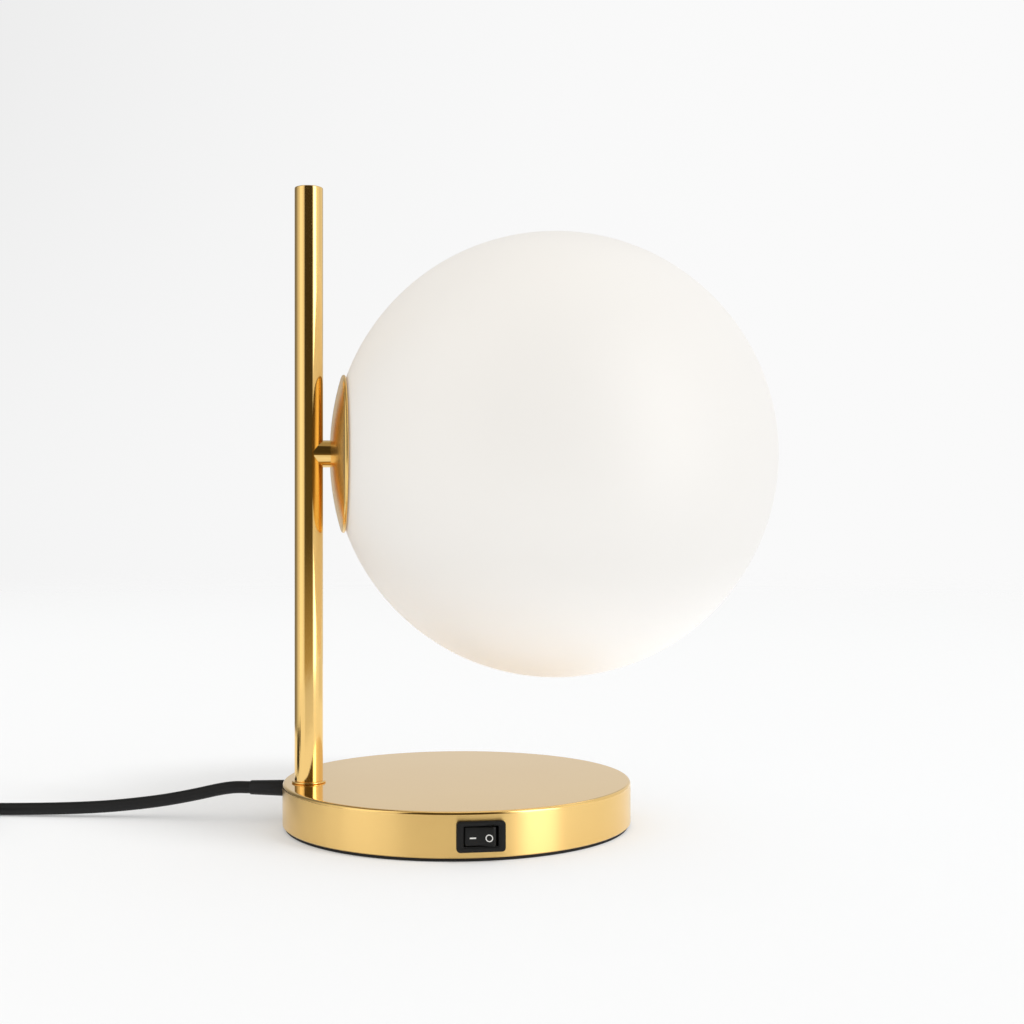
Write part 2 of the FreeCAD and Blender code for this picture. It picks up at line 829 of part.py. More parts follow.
def make_switch():
    """The bezel with its snap-in body, the rocker on its upright pin, and two blade terminals behind."""
    bezel_back = s.bezel_proud + s.shell_wall
    bezel = padded(
        "bezel_plate",
        "XZ_Plane",
        rounded_rectangle(s.bezel_width, s.bezel_height, s.bezel_corner),
        bezel_back,
        (0, switch_face + bezel_back, s.switch_height),
    )
    wall = rod("bezel_saddle", s.base_radius, s.base_top, (0, 0, 0))
    body_size = (s.switch_body_width, s.switch_depth + s.bezel_proud / 2, s.switch_body_height)
    body = block("switch_body", body_size, (0, -s.base_radius - s.bezel_proud / 2, s.switch_height))
    # A springy barb on each side holds the switch from behind the shell's wall.
    barb_y = s.clip_gap - leg(shell_inner, s.switch_body_width / 2 + s.clip_reach)
    barbs = []
    for number, way in enumerate((-1, 1)):
        side = s.switch_body_width / 2 * way
        tip = side + s.clip_reach * way
        root = side - s.clip_reach * way
        barb_end = barb_y + s.clip_length
        outline = [(root, barb_y), (tip, barb_y), (side, barb_end), (root, barb_end)]
        place = (0, 0, s.switch_height)
        barbs.append(padded(f"switch_barb_{number}", "XY_Plane", outline, s.clip_width, place, midplane=True))
    blank = joined("switch_blank", cut("bezel_curved", bezel, wall), body, *barbs)
    cavity_size = (s.window_width, s.switch_cavity, s.window_height)
    cavity = block("switch_cavity", cavity_size, (0, switch_face, s.switch_height))
    pin_reach = s.window_height / 2 + s.rocker_pin_length + s.pin_gap
    pin_low = (0, pivot_y, s.switch_height - pin_reach)
    pin_hole = rod("switch_pin_hole", s.rocker_pin_radius + s.pin_gap, pin_reach * 2, pin_low)
    piece("switch_housing", cut("switch_housing", blank, cavity, pin_hole))

    rocker_height = s.window_height - 2 * s.moving_gap
    outline = [
        (-s.rocker_half, s.rocker_root),
        (-s.rocker_half, -s.rocker_shoulder),
        (-s.rocker_crest_half, -s.rocker_crest),
        (0, -s.rocker_valley),
        (s.rocker_crest_half, -s.rocker_crest),
        (s.rocker_half, -s.rocker_shoulder),
        (s.rocker_half, s.rocker_root),
    ]
    paddle = padded("rocker_paddle", "XY_Plane", outline, rocker_height, (0, 0, -rocker_height / 2))
    half_pin = s.window_height / 2 + s.rocker_pin_length
    pin = rod("rocker_pin", s.rocker_pin_radius, half_pin * 2, (0, 0, -half_pin))
    rocker = joined("switch_rocker", paddle, pin)
    on_side = FreeCAD.Rotation(FreeCAD.Vector(0, 0, 1), -SIZES["rocker_angle"])
    piece("switch_rocker", put(rocker, 0, pivot_y, s.switch_height, on_side))

    back = s.switch_depth - s.base_radius
    blades = [
        block(
            f"terminal_{number}",
            (s.terminal_thickness, s.terminal_length, s.terminal_width),
            (side, back, s.switch_height),
        )
        for number, side in enumerate((-s.terminal_spacing / 2, s.terminal_spacing / 2))
    ]
    piece("switch_terminals", group("switch_terminals", blades))


def on_circle(radius, degrees, height):
    """A place round the base's axis."""
    angle = math.radians(degrees)
    return (radius * math.cos(angle), radius * math.sin(angle), height)


# --- Cord ---


def rounded_path(points, bend=None):
    """Straight runs joined by tangent arcs. Without a bend radius, each arc is as large as its runs allow."""
    points = [FreeCAD.Vector(*point) for point in points]
    edges, radii = [], []
    last = points[0]
    for before, here, after in zip(points, points[1:], points[2:]):
        back, ahead = before - here, after - here
        half_turn = (math.pi - back.getAngle(ahead)) / 2
        radius = bend or 0.45 * min(back.Length, ahead.Length) / math.tan(half_turn)
        reach = radius * math.tan(half_turn)
        start = here + back.normalize() * reach
        stop = here + ahead.normalize() * reach
        inward = (back + ahead).normalize()
        middle = here + inward * (radius / math.cos(half_turn) - radius)
        edges.append(Part.LineSegment(last, start).toShape())
        edges.append(Part.Arc(start, middle, stop).toShape())
        radii.append(radius)
        last = stop
    edges.append(Part.LineSegment(last, points[-1]).toShape())
    return Part.Wire(edges), radii


def tube_on(path, radius):
    """A round section carried along a path."""
    start = path.Edges[0]
    direction = start.tangentAt(start.FirstParameter)
    section = Part.Wire(Part.Circle(start.valueAt(start.FirstParameter), direction, radius).toShape())
    shell = Part.BRepOffsetAPI.MakePipeShell(path)
    shell.add(section)
    shell.build()
    shell.makeSolid()
    return shell.shape()


def shaped(node, shape):
    item = doc.addObject("Part::Feature", node)
    item.Shape = shape
    item.Placement = FreeCAD.Placement()
    return piece(node, item)


def report_tube(node, shape, path, radius):
    expected = math.pi * radius**2 * path.Length
    print(f"{node}: length {path.Length:.1f}, volume over section times length {shape.Volume / expected:.4f}")


def biarc(start, start_direction, stop, stop_direction):
    """Two arcs that meet smoothly, with the given directions at their ends."""
    across = stop - start
    together = start_direction + stop_direction
    twice = 2 * (1 - start_direction.dot(stop_direction))
    along = across.dot(together)
    reach = (math.sqrt(along**2 + twice * across.dot(across)) - along) / twice
    first_corner = start + start_direction * reach
    second_corner = stop - stop_direction * reach
    joint = (first_corner + second_corner) * 0.5
    return [arc_by_corner(start, first_corner, joint), arc_by_corner(joint, second_corner, stop)]


def arc_by_corner(start, corner, stop):
    """The arc that is tangent to both lines of a corner with equal sides."""
    half_turn = (math.pi - (start - corner).getAngle(stop - corner)) / 2
    radius = (start - corner).Length / math.tan(half_turn)
    inward = ((start + stop) * 0.5 - corner).normalize()
    middle = corner + inward * (radius / math.cos(half_turn) - radius)
    return Part.Arc(start, middle, stop).toShape()


def coil_path():
    """The put-away length: a flat spiral in on the table, a climb of one layer, and a spiral out on top."""
    radius, pitch = SIZES["coil_outer"], SIZES["turn_pitch"]
    turns, climb = SIZES["coil_layer_turns"], 0.5
    before, end = (FreeCAD.Vector(*point) for point in CORD_ROUTE[-2:])
    heading = (end - before).normalize()
    stub = 2 * SIZES["cord_radius"]
    first = end + heading * stub
    lean = math.atan2(pitch / (2 * math.pi), radius)
    start_angle = math.atan2(heading.y, heading.x) - math.pi / 2 - lean
    centre = first - FreeCAD.Vector(math.cos(start_angle), math.sin(start_angle), 0) * radius

    middle = turns + climb / 2

    def spot(turn):
        """Place and direction after so many turns."""
        share = min(max((turn - turns) / climb, 0), 1)
        distance = radius - pitch * (middle - abs(turn - middle))
        angle = start_angle + 2 * math.pi * turn
        drift = pitch / (2 * math.pi) * ((turn > middle) - (turn < middle))
        rise = pitch / (climb * math.pi) if turn == middle else 0
        out = FreeCAD.Vector(math.cos(angle), math.sin(angle), 0)
        round_way = FreeCAD.Vector(-math.sin(angle), math.cos(angle), 0)
        direction = round_way * distance + out * drift + FreeCAD.Vector(0, 0, rise)
        place = centre + out * distance + FreeCAD.Vector(0, 0, pitch * share)
        return place, direction.normalize()

    halves = math.ceil(2 * turns)
    inward = [turns * number / halves for number in range(halves + 1)]
    outward = [turns + climb + stop for stop in inward]
    spots = [spot(stop) for stop in (*inward, middle, *outward)]
    edges = [Part.LineSegment(end, first).toShape()]
    for (start, start_way), (stop, stop_way) in zip(spots, spots[1:]):
        edges += biarc(start, start_way, stop, stop_way)
    last, last_way = spots[-1]
    edges.append(Part.LineSegment(last, last + last_way * stub).toShape())
    return Part.Wire(edges), last + last_way * stub, last_way


def least_gap(path, radius, apart):
    """The least gap between stretches of the path that lie further apart along it than a given length."""
    count = 900
    points = path.discretize(count)
    step = path.Length / (count - 1)
    skip = int(apart / step)
    nearest = min(
        (one - other).Length for number, one in enumerate(points) for other in points[number + skip :]
    )
    return nearest - 2 * radius


def make_cord():
    """The bush in the wall, the free run, its coil, the short end and the plug."""
    away = FreeCAD.Rotation(FreeCAD.Vector(0, 0, 1), SIZES["cord_angle"])
    bore = s.cord_radius + s.pin_gap
    wall_in = leg(shell_inner, s.bush_flange_radius)
    tail_end = s.base_radius + s.bush_tail
    bush = turned(
        "cord_bush",
        "X",
        [
            (wall_in - s.bush_flange, bore),
            (wall_in - s.bush_flange, s.bush_flange_radius),
            (wall_in, s.bush_flange_radius),
            (wall_in, s.bush_radius),
            (s.base_radius + s.fixed_gap, s.bush_radius),
            (tail_end, s.bush_tip_radius),
            (tail_end, bore),
        ],
        (0, 0, s.cord_height),
        away,
    )
    piece("cord_bush", bush)

    entry_way = away.multiply(ALONG_X)
    inner_end = FreeCAD.Vector(*on_circle(cord_inner_end.value, SIZES["cord_angle"], 0))
    entry_place = (inner_end.x, inner_end.y, s.cord_height)
    entry = rod("cord_entry", s.cord_radius, tail_end - cord_inner_end, entry_place, entry_way)
    piece("cord_entry", entry)

    radius = SIZES["cord_radius"]
    run, radii = rounded_path(CORD_ROUTE)
    shape = tube_on(run, radius)
    shaped("cord_run", shape)
    report_tube("cord_run", shape, run, radius)
    print("cord_run radii:", [round(value) for value in radii])

    coil, coil_end, coil_way = coil_path()
    shape = tube_on(coil, radius)
    shaped("cord_coil", shape)
    report_tube("cord_coil", shape, coil, radius)
    print(f"cord_coil least gap to itself: {least_gap(coil, radius, 12 * radius):.2f}")

    plug_height = SIZES["plug_thickness"] / 2
    towards_plug = FreeCAD.Vector(0, -1, 0)
    tail_start = coil_end + coil_way * 13
    tail_middle = FreeCAD.Vector(tail_start.x + 1, tail_start.y - 13, plug_height)
    tail_route = [coil_end, tail_start, tail_middle, tail_middle + towards_plug * 13]
    tail, radii = rounded_path(tail_route)
    shape = tube_on(tail, radius)
    shaped("cord_tail", shape)
    report_tube("cord_tail", shape, tail, radius)
    print("cord_tail radii:", [round(value) for value in radii])
    print(f"cord length in all: {run.Length + coil.Length + tail.Length:.0f}")
    make_plug(tail_route[-1])


def make_plug(entry):
    """A flat two-pin plug that lies on the table, its pins along -Y."""
    ribs = 3
    rib = s.plug_relief / (2 * ribs)
    tip, root = s.cord_radius + 0.6, s.plug_neck / 2
    profile = [(0, 0)]
    for number in range(ribs):
        outer = tip + (root - tip) * ((number + 1) / ribs)
        profile.append((outer, rib * (2 * number)))
        profile.append((outer, rib * (2 * number + 1)))
        profile.append((tip, rib * (2 * number + 1)))
        profile.append((tip, rib * (2 * number + 2)))
    profile.append((0, s.plug_relief))
    place = (entry.x, entry.y, s.plug_thickness / 2)
    piece("plug_relief", turned("plug_relief", "Z", profile, place, ALONG_MINUS_Y))

    face_y = entry.y - s.plug_relief - s.plug_length
    half, neck = s.plug_width / 2, s.plug_neck / 2
    shoulder = s.plug_straight
    plan = [
        (-half, 0),
        (half, 0),
        (half, shoulder, s.plug_length),
        (neck, s.plug_length),
        (-neck, s.plug_length, s.plug_length),
        (-half, shoulder),
    ]
    thick = s.plug_thickness / 2
    side = [
        (0, -thick),
        (shoulder, -thick, s.plug_length * 2),
        (s.plug_length, -neck),
        (s.plug_length, neck, s.plug_length * 2),
        (shoulder, thick),
        (0, thick),
    ]
    from_above = padded("plug_plan", "XY_Plane", plan, s.plug_thickness, (entry.x, face_y, 0))
    from_side = padded("plug_side", "YZ_Plane", side, s.plug_width, (entry.x - half, face_y, thick))
    body = doc.addObject("Part::Common", "plug_body")
    body.Base = from_above
    body.Tool = from_side
    piece("plug_body", body)

    pin = s.plug_pin_radius
    pin_profile = [
        (0, 0),
        (pin, 0),
        (pin, s.plug_pin_length - pin, pin),
        (0, s.plug_pin_length),
    ]
    pins = [
        turned(f"plug_pin_{number}", "Z", pin_profile, (entry.x + offset, face_y, thick), ALONG_MINUS_Y)
        for number, offset in enumerate((-s.plug_pin_spacing / 2, s.plug_pin_spacing / 2))
    ]
    piece("plug_pins", group("plug_pins", pins))


# --- Wiring ---


def make_wiring():
    """The terminal block on the cover, and the wires from the cord to the switch and up to the lampholder."""
    turn = FreeCAD.Rotation(FreeCAD.Vector(0, 0, 1), SIZES["block_angle"])
    middle = FreeCAD.Vector(*on_circle(block_circle.value, SIZES["block_angle"], 0))
    corner = middle + turn.multVec(FreeCAD.Vector(-SIZES["block_width"] / 2, -SIZES["block_length"] / 2, 0))
    size = {"Length": s.block_width, "Width": s.block_length, "Height": s.block_height}
    piece("terminal_block", primitive("Box", "terminal_block", (corner.x, corner.y, cover_top), turn, **size))

    def by_block(across, along, height):
        """A place near the block: outwards from the base's axis, and along the block towards the switch."""
        return middle + turn.multVec(FreeCAD.Vector(across, along, height))

    def wires(node, routes):
        paths = [rounded_path(route, SIZES["wire_bend"])[0] for route in routes]
        shaped(node, Part.makeCompound([tube_on(path, SIZES["wire_radius"]) for path in paths]))

    end = SIZES["block_length"] / 2
    level = cover_top.value + SIZES["block_height"] / 2
    low = cover_top.value + 1.5 * SIZES["wire_radius"]
    inward = FreeCAD.Vector(*on_circle(-1, SIZES["cord_angle"], 0))
    sideways = FreeCAD.Vector(-inward.y, inward.x, 0)
    jacket_end = FreeCAD.Vector(*on_circle(cord_inner_end.value, SIZES["cord_angle"], SIZES["cord_height"]))
    supply, to_switch, to_lamp = [], [], []
    for side in (-1, 1):
        first = jacket_end + sideways * (1.3 * side)
        circle = ballast_radius.value + 4 + 1.5 * side
        supply.append(
            [
                first,
                first + inward * (5 - side),
                on_circle(circle, 175, level + 2),
                on_circle(circle, 198, level),
                by_block(1 + 2 * side, -end - 6, level),
                by_block(1 + 2 * side, -end, level),
            ]
        )
        terminal_x = side * SIZES["terminal_spacing"] / 2
        terminal_y = SIZES["switch_depth"] - SIZES["base_radius"] + SIZES["terminal_length"] / 2
        terminal_low = SIZES["switch_height"] - SIZES["terminal_width"] / 2
        depth = low + 0.2
        to_switch.append(
            [
                by_block(2.5 * side, end, level),
                by_block(2.5 * side, end + 6, level),
                (terminal_x - 11, terminal_y + 2 - 3 * side, depth),
                (terminal_x, terminal_y, depth - 0.6),
                (terminal_x, terminal_y, terminal_low),
            ]
        )
        post, head = post_x.value, SIZES["head_height"]
        across = 1.25 * side
        to_lamp.append(
            [
                by_block(-3 + 1.5 * side, -end, low + 0.2),
                by_block(-3 + 1.5 * side, -end - 7, low + 0.2),
                (post, across, low + 0.6),
                (post, across, head),
                (bracket_top.value, across, head),
            ]
        )
    wires("supply_wires", supply)
    wires("switch_wires", to_switch)
    wires("lamp_wires", to_lamp)


make_base()
make_post()
make_head()
make_holder()
make_bulb()
make_globe()
make_switch()
make_cord()
make_wiring()
doc.recompute()

failed = [item.Name for item in doc.Objects if {"Invalid", "Error"} & set(item.State)]
for node, item in pieces.items():
    if item.Shape.isNull() or not item.Shape.isValid() or not item.Shape.Solids:
        failed.append(node)
if failed:
    raise RuntimeError(f"these objects failed: {failed}")

os.makedirs("parts", exist_ok=True)
for node, item in pieces.items():
    item.Shape.exportStep(f"parts/{node}.step")
print(len(pieces), "nodes written")
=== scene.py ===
import math

import bpy
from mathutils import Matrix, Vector


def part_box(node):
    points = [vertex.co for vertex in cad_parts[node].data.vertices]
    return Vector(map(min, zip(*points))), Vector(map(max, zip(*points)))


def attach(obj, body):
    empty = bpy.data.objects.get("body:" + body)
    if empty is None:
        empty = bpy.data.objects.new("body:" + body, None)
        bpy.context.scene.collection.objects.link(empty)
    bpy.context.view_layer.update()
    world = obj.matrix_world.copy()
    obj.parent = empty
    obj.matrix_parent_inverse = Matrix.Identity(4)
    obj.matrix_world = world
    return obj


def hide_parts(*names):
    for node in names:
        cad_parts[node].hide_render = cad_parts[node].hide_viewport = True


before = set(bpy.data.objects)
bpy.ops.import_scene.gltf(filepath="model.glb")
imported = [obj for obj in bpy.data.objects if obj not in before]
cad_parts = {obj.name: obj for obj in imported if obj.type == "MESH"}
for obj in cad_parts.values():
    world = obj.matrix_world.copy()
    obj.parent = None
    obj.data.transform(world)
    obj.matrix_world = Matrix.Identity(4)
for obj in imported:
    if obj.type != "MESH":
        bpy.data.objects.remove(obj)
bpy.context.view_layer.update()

# Glass globe table lamp. The frame's origin is the centre of the base's underside, +X runs from the post to
# the globe and -Y is the front. Lengths are in millimetres and are turned to metres by MM, apart from those
# of the camera, the lights and the cards, which are in metres.
MM = 0.001

# --- Sizes and places that several pieces share ---

BASE_RADIUS = 77.5
BASE_TOP = 20.0
PAD_THICKNESS = 1.5
POST_X = -66.0
POST_RADIUS = 6.25
POST_TOP = 282.5
HEAD_HEIGHT = 165.0
HEAD_PLACE = (0, 0, HEAD_HEIGHT)
NIPPLE_HOLE = 4.1
DISH_X = -56.5
GLOBE_RADIUS = 100.0
GLOBE_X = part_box("glass_globe")[1][0] / MM - GLOBE_RADIUS
CORD_RADIUS = 2.8
CORD_HEIGHT = 14.2
CORD_ANGLE = math.radians(165.5)
CORD_WAY = Vector((math.cos(CORD_ANGLE), math.sin(CORD_ANGLE), 0))
PLUG_THICKNESS = 13.7
# A cutting shape reaches this far past what it cuts, and a hair keeps two faces from falling together.
SPARE = 1.0
HAIR = 0.01

# --- Camera ---

lens = bpy.data.cameras.new("lens")
lens.lens = 53.19
lens.sensor_width = 36
camera = bpy.data.objects.new("camera", lens)
camera.location = (-0.0819, -0.6741, 0.1393)
camera.rotation_euler = (math.radians(90), 0, math.radians(-9))
bpy.context.collection.objects.link(camera)
bpy.context.scene.camera = camera
bpy.context.scene.view_settings.view_transform = "Standard"

# --- Finishes ---


class Value:
    """A shader socket, so that sums on it read as plain expressions and add their Math nodes."""

    def __init__(self, finish, socket):
        self.finish = finish
        self.socket = socket

    def combined(self, operation, *terms):
        return self.finish.node("ShaderNodeMath", {"operation": operation}, dict(enumerate(terms)))

    def __add__(self, other):
        return self.combined("ADD", self, other)

    def __sub__(self, other):
        return self.combined("SUBTRACT", self, other)

    def __rsub__(self, other):
        return self.combined("SUBTRACT", other, self)

    def __mul__(self, other):
        return self.combined("MULTIPLY", self, other)

    __radd__ = __add__
    __rmul__ = __mul__


class Nodes:
    """A node tree that is written as calls."""

    def __init__(self, tree):
        self.tree = tree
        tree.nodes.clear()

    def node(self, kind, settings=(), inputs=(), output=0):
        """Any node: its settings come first, then the values or links of its sockets."""
        item = self.tree.nodes.new(kind)
        for name, setting in dict(settings).items():
            if name == "stops":
                elements = item.color_ramp.elements
                elements[0].position, elements[1].position = setting[0][0], setting[-1][0]
                middle = [elements.new(position) for position, _ in setting[1:-1]]
                for stop, (_, color) in zip((elements[0], *middle, elements[len(setting) - 1]), setting):
                    stop.color = (*color, 1)
            else:
                setattr(item, name, setting)
        for name, value in dict(inputs).items():
            self.link(value, item.inputs[name])
        return Value(self, item.outputs[output])

    def link(self, value, socket):
        if isinstance(value, Value):
            self.tree.links.new(value.socket, socket)
        else:
            socket.default_value = value

    def seen(self):
        """1 for what the camera, metal and glass show, and 0 for light that only falls on things."""
        rays = [self.node("ShaderNodeLightPath", output=name) for name in ("Is Camera Ray", "Is Glossy Ray")]
        shown = rays[0].combined("MAXIMUM", *rays)
        through = self.node("ShaderNodeLightPath", output="Is Transmission Ray")
        return shown.combined("MAXIMUM", shown, through)

    def between(self, value, low, high, smooth=True):
        """0 at low and 1 at high."""
        kind = {"interpolation_type": "SMOOTHSTEP" if smooth else "LINEAR"}
        return self.node("ShaderNodeMapRange", kind, {"Value": value, "From Min": low, "From Max": high})

    def mixed(self, share, first, second):
        """A colour between two, by the share of the second."""
        mix = self.node("ShaderNodeMix", {"data_type": "RGBA"}, output=2)
        sockets = {socket.identifier: socket for socket in mix.socket.node.inputs}
        self.link(share, sockets["Factor_Float"])
        sockets["A_Color"].default_value = (*first, 1)
        sockets["B_Color"].default_value = (*second, 1)
        return mix


class Finish(Nodes):
    """A material made of nodes, with its constants on the shader's own sockets."""

    def __init__(self, name, kind="ShaderNodeBsdfPrincipled", **constants):
        self.material = bpy.data.materials.new(name)
        self.material.use_nodes = True
        super().__init__(self.material.node_tree)
        self.output = self.tree.nodes.new("ShaderNodeOutputMaterial")
        self.surface = self.node(kind, {}, {key.replace("_", " "): value for key, value in constants.items()})
        self.show(self.surface)

    def show(self, surface):
        self.link(surface, self.output.inputs["Surface"])

    def feed(self, name, value):
        self.link(value, self.surface.socket.node.inputs[name])

    def here(self):
        return self.node("ShaderNodeTexCoord", output="Object")

    def places(self, stretch=(1, 1, 1)):
        """Object coordinates in metres, stretched for a pattern that has a grain."""
        return self.node("ShaderNodeMapping", {}, {"Vector": self.here(), "Scale": stretch})

    def noise(self, size, detail=2.0, stretch=(1, 1, 1)):
        """Noise from 0 to 1 whose features are about so many millimetres across."""
        inputs = {"Vector": self.places(stretch), "Scale": 1 / (size * MM), "Detail": detail}
        return self.node("ShaderNodeTexNoise", {}, inputs)

    def relief(self, height, depth):
        """Small bumps, with their depth in millimetres."""
        self.feed("Normal", self.node("ShaderNodeBump", {}, {"Height": height, "Distance": depth * MM}))


def polished_brass():
    """Polished, lacquered brass: a faint colour drift, with the haze and hairlines that polishing leaves."""
    finish = Finish("brass", Metallic=1.0, Roughness=0.1)
    drift = finish.noise(60)
    finish.feed("Base Color", finish.mixed(drift, (0.93, 0.61, 0.21), (0.97, 0.66, 0.25)))
    haze = finish.noise(18, 3)
    hairlines = finish.noise(0.5, 2, (1, 1, 0.02))
    finish.feed("Roughness", haze * 0.05 + hairlines * 0.03 + 0.06)
    finish.relief(hairlines, 0.0004)
    return finish.material


def turned_brass():
    """The base's wall: the same brass, turned. Fine lines run round it and smear light up and down."""
    finish = Finish("turned_brass", Metallic=1.0, Roughness=0.3, Anisotropic=0.9, Anisotropic_Rotation=0.25)
    drift = finish.noise(60)
    finish.feed("Base Color", finish.mixed(drift, (0.93, 0.62, 0.22), (0.97, 0.67, 0.26)))
    lines = finish.noise(0.3, 3, (0.02, 0.02, 1))
    finish.feed("Roughness", lines * 0.08 + 0.29)
    finish.relief(lines, 0.0006)
    return finish.material


def spun_brass():
    """The dish: brass spun over a form and only lightly polished, so that it mirrors softly."""
    finish = Finish("spun_brass", Metallic=1.0, Roughness=0.26)
    drift = finish.noise(40)
    finish.feed("Base Color", finish.mixed(drift, (0.9, 0.6, 0.2), (0.95, 0.64, 0.23)))
    haze = finish.noise(9, 3)
    finish.feed("Roughness", haze * 0.08 + 0.22)
    finish.relief(finish.noise(0.5, 2, (1, 0.05, 0.05)), 0.0004)
    return finish.material


def zinc_steel():
    finish = Finish("zinc_steel", Metallic=1.0, Roughness=0.35)
    spangle = finish.noise(3, 3)
    finish.feed("Base Color", finish.mixed(spangle, (0.55, 0.56, 0.57), (0.68, 0.69, 0.7)))
    finish.feed("Roughness", finish.noise(1, 3) * 0.2 + 0.28)
    return finish.material


def cast_iron():
    """Painted casting: dark grey, with the sand mould's grain."""
    finish = Finish("cast_iron", Roughness=0.7)
    grain = finish.noise(1.2, 5)
    finish.feed("Base Color", finish.mixed(grain, (0.02, 0.021, 0.022), (0.05, 0.05, 0.052)))
    finish.relief(grain, 0.25)
    return finish.material


def foam_pad():
    """Closed-cell foam with small pores."""
    finish = Finish("black_pad", Roughness=0.9)
    pores = finish.node("ShaderNodeTexVoronoi", {}, {"Vector": finish.places(), "Scale": 1 / (0.5 * MM)})
    finish.feed("Base Color", finish.mixed(pores, (0.006, 0.006, 0.006), (0.018, 0.018, 0.018)))
    finish.relief(pores, 0.06)
    return finish.material


def moulded_black():
    """Black plastic with a fine spark-eroded grain."""
    finish = Finish("switch_black", Roughness=0.36, Specular_IOR_Level=0.25)
    grain = finish.noise(0.25, 3)
    finish.feed("Base Color", finish.mixed(grain, (0.003, 0.003, 0.0028), (0.007, 0.007, 0.0064)))
    finish.feed("Roughness", grain * 0.16 + 0.28)
    finish.relief(grain, 0.012)
    return finish.material


def cord_jacket():
    """Smooth black cord jacket, a little uneven as extruded."""
    finish = Finish("cord_black", Roughness=0.45, Specular_IOR_Level=0.3)
    grain = finish.noise(0.6, 3)
    finish.feed("Base Color", finish.mixed(grain, (0.005, 0.005, 0.005), (0.010, 0.010, 0.011)))
    finish.feed("Roughness", grain * 0.16 + 0.4)
    finish.relief(finish.noise(4, 2), 0.05)
    return finish.material


def nickel_plate():
    finish = Finish("nickel", Metallic=1.0, Roughness=0.25)
    wear = finish.noise(2, 3)
    finish.feed("Base Color", finish.mixed(wear, (0.62, 0.59, 0.54), (0.72, 0.69, 0.64)))
    finish.feed("Roughness", wear * 0.15 + 0.18)
    return finish.material


def clear_nylon():
    finish = Finish("clear_nylon", Roughness=0.4, IOR=1.53)
    cloud = finish.noise(5, 2)
    finish.feed("Base Color", finish.mixed(cloud, (0.72, 0.71, 0.66), (0.82, 0.81, 0.77)))
    return finish.material


def white_ceramic():
    finish = Finish("ceramic_white", Roughness=0.3, Coat_Weight=0.3)
    speck = finish.noise(1.5, 4)
    finish.feed("Base Color", finish.mixed(speck, (0.78, 0.76, 0.7), (0.86, 0.85, 0.81)))
    finish.relief(speck, 0.01)
    return finish.material


def frosted_bulb():
    finish = Finish("frosted_glass", Roughness=0.35, IOR=1.5)
    cloud = finish.noise(4, 2)
    finish.feed("Base Color", finish.mixed(cloud, (0.84, 0.83, 0.78), (0.9, 0.89, 0.85)))
    return finish.material


def opal_glass():
    """Etched opal glass: milky white, with a faint warm cloud in it and a silk surface. It carries a painted
    glow that evens its shading, painted brighter towards the foot, between two heights in metres."""
    even_height, foot_height = 0.122, 0.062
    # The emission is painted light: a glow in the glass that evens the globe's shading.
    finish = Finish("opal_glass", Roughness=0.45, IOR=1.45, Emission_Strength=0.34)
    cloud = finish.noise(70, 1)
    finish.feed("Base Color", finish.mixed(cloud, (0.76, 0.75, 0.735), (0.785, 0.775, 0.76)))
    height = finish.node("ShaderNodeSeparateXYZ", {}, {0: finish.here()}, output="Z")
    # Painted light: the glow grows from the even height down to the foot, in place of light from below.
    painted_foot_glow = finish.between(height, even_height, foot_height)
    finish.feed("Emission Color", finish.mixed(painted_foot_glow, (0.42, 0.4, 0.375), (1, 0.98, 0.96)))
    etch = finish.noise(0.4, 2)
    finish.feed("Roughness", etch * 0.08 + 0.42)
    finish.relief(etch, 0.004)
    return finish.material


def printed_white():
    finish = Finish("printed_white", Roughness=0.6)
    wear = finish.noise(0.4, 3)
    finish.feed("Base Color", finish.mixed(wear, (0.78, 0.78, 0.76), (0.9, 0.9, 0.88)))
    return finish.material


def brown_wire():
    finish = Finish("wire_brown", Roughness=0.5)
    tone = finish.noise(3, 2)
    finish.feed("Base Color", finish.mixed(tone, (0.07, 0.028, 0.012), (0.1, 0.045, 0.02)))
    return finish.material


finishes = {
    "brass": polished_brass(),
    "zinc_steel": zinc_steel(),
    "cast_iron": cast_iron(),
    "black_pad": foam_pad(),
    "switch_black": moulded_black(),
    "cord_black": cord_jacket(),
    "nickel": nickel_plate(),
    "clear_nylon": clear_nylon(),
    "ceramic_white": white_ceramic(),
    "frosted_glass": frosted_bulb(),
    "opal_glass": opal_glass(),
    "wire_brown": brown_wire(),
}
turned_wall = turned_brass()
spun_dish = spun_brass()
mark_white = printed_white()
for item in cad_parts.values():
    for slot in item.material_slots:
        slot.material = finishes[slot.material.name.split(".")[0]]

# --- Modelling helpers ---


def deselect():
    for item in bpy.context.selected_objects:
        item.select_set(False)


def pick(piece):
    """Makes a piece the only one selected."""
    deselect()
    piece.select_set(True)
    bpy.context.view_layer.objects.active = piece


def settle():
    """Puts the place, turn and scale of the selected piece into its mesh."""
    bpy.ops.object.transform_apply(location=True, rotation=True, scale=True)


def edit_all():
    """Enters edit mode with every corner selected."""
    bpy.ops.object.mode_set(mode="EDIT")
    bpy.ops.mesh.select_mode(type="VERT")
    bpy.ops.mesh.select_all(action="SELECT")


def end_edit():
    """Turns all faces outwards and leaves edit mode."""
    bpy.ops.mesh.select_all(action="SELECT")
    bpy.ops.mesh.normals_make_consistent(inside=False)
    bpy.ops.object.mode_set(mode="OBJECT")


def keep(piece, body, slot, *nodes, finish=None):
    """Fixes a finished piece: its place goes into its mesh, and it rides and stands for its nodes."""
    pick(piece)
    settle()
    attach(piece, body)
    if nodes:
        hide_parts(*nodes)
    piece.data.materials.clear()
    piece.data.materials.append(finish or finishes[slot])
    return piece


def smooth(piece, degrees=30):
    pick(piece)
    bpy.ops.object.shade_smooth_by_angle(angle=math.radians(degrees))
    return piece


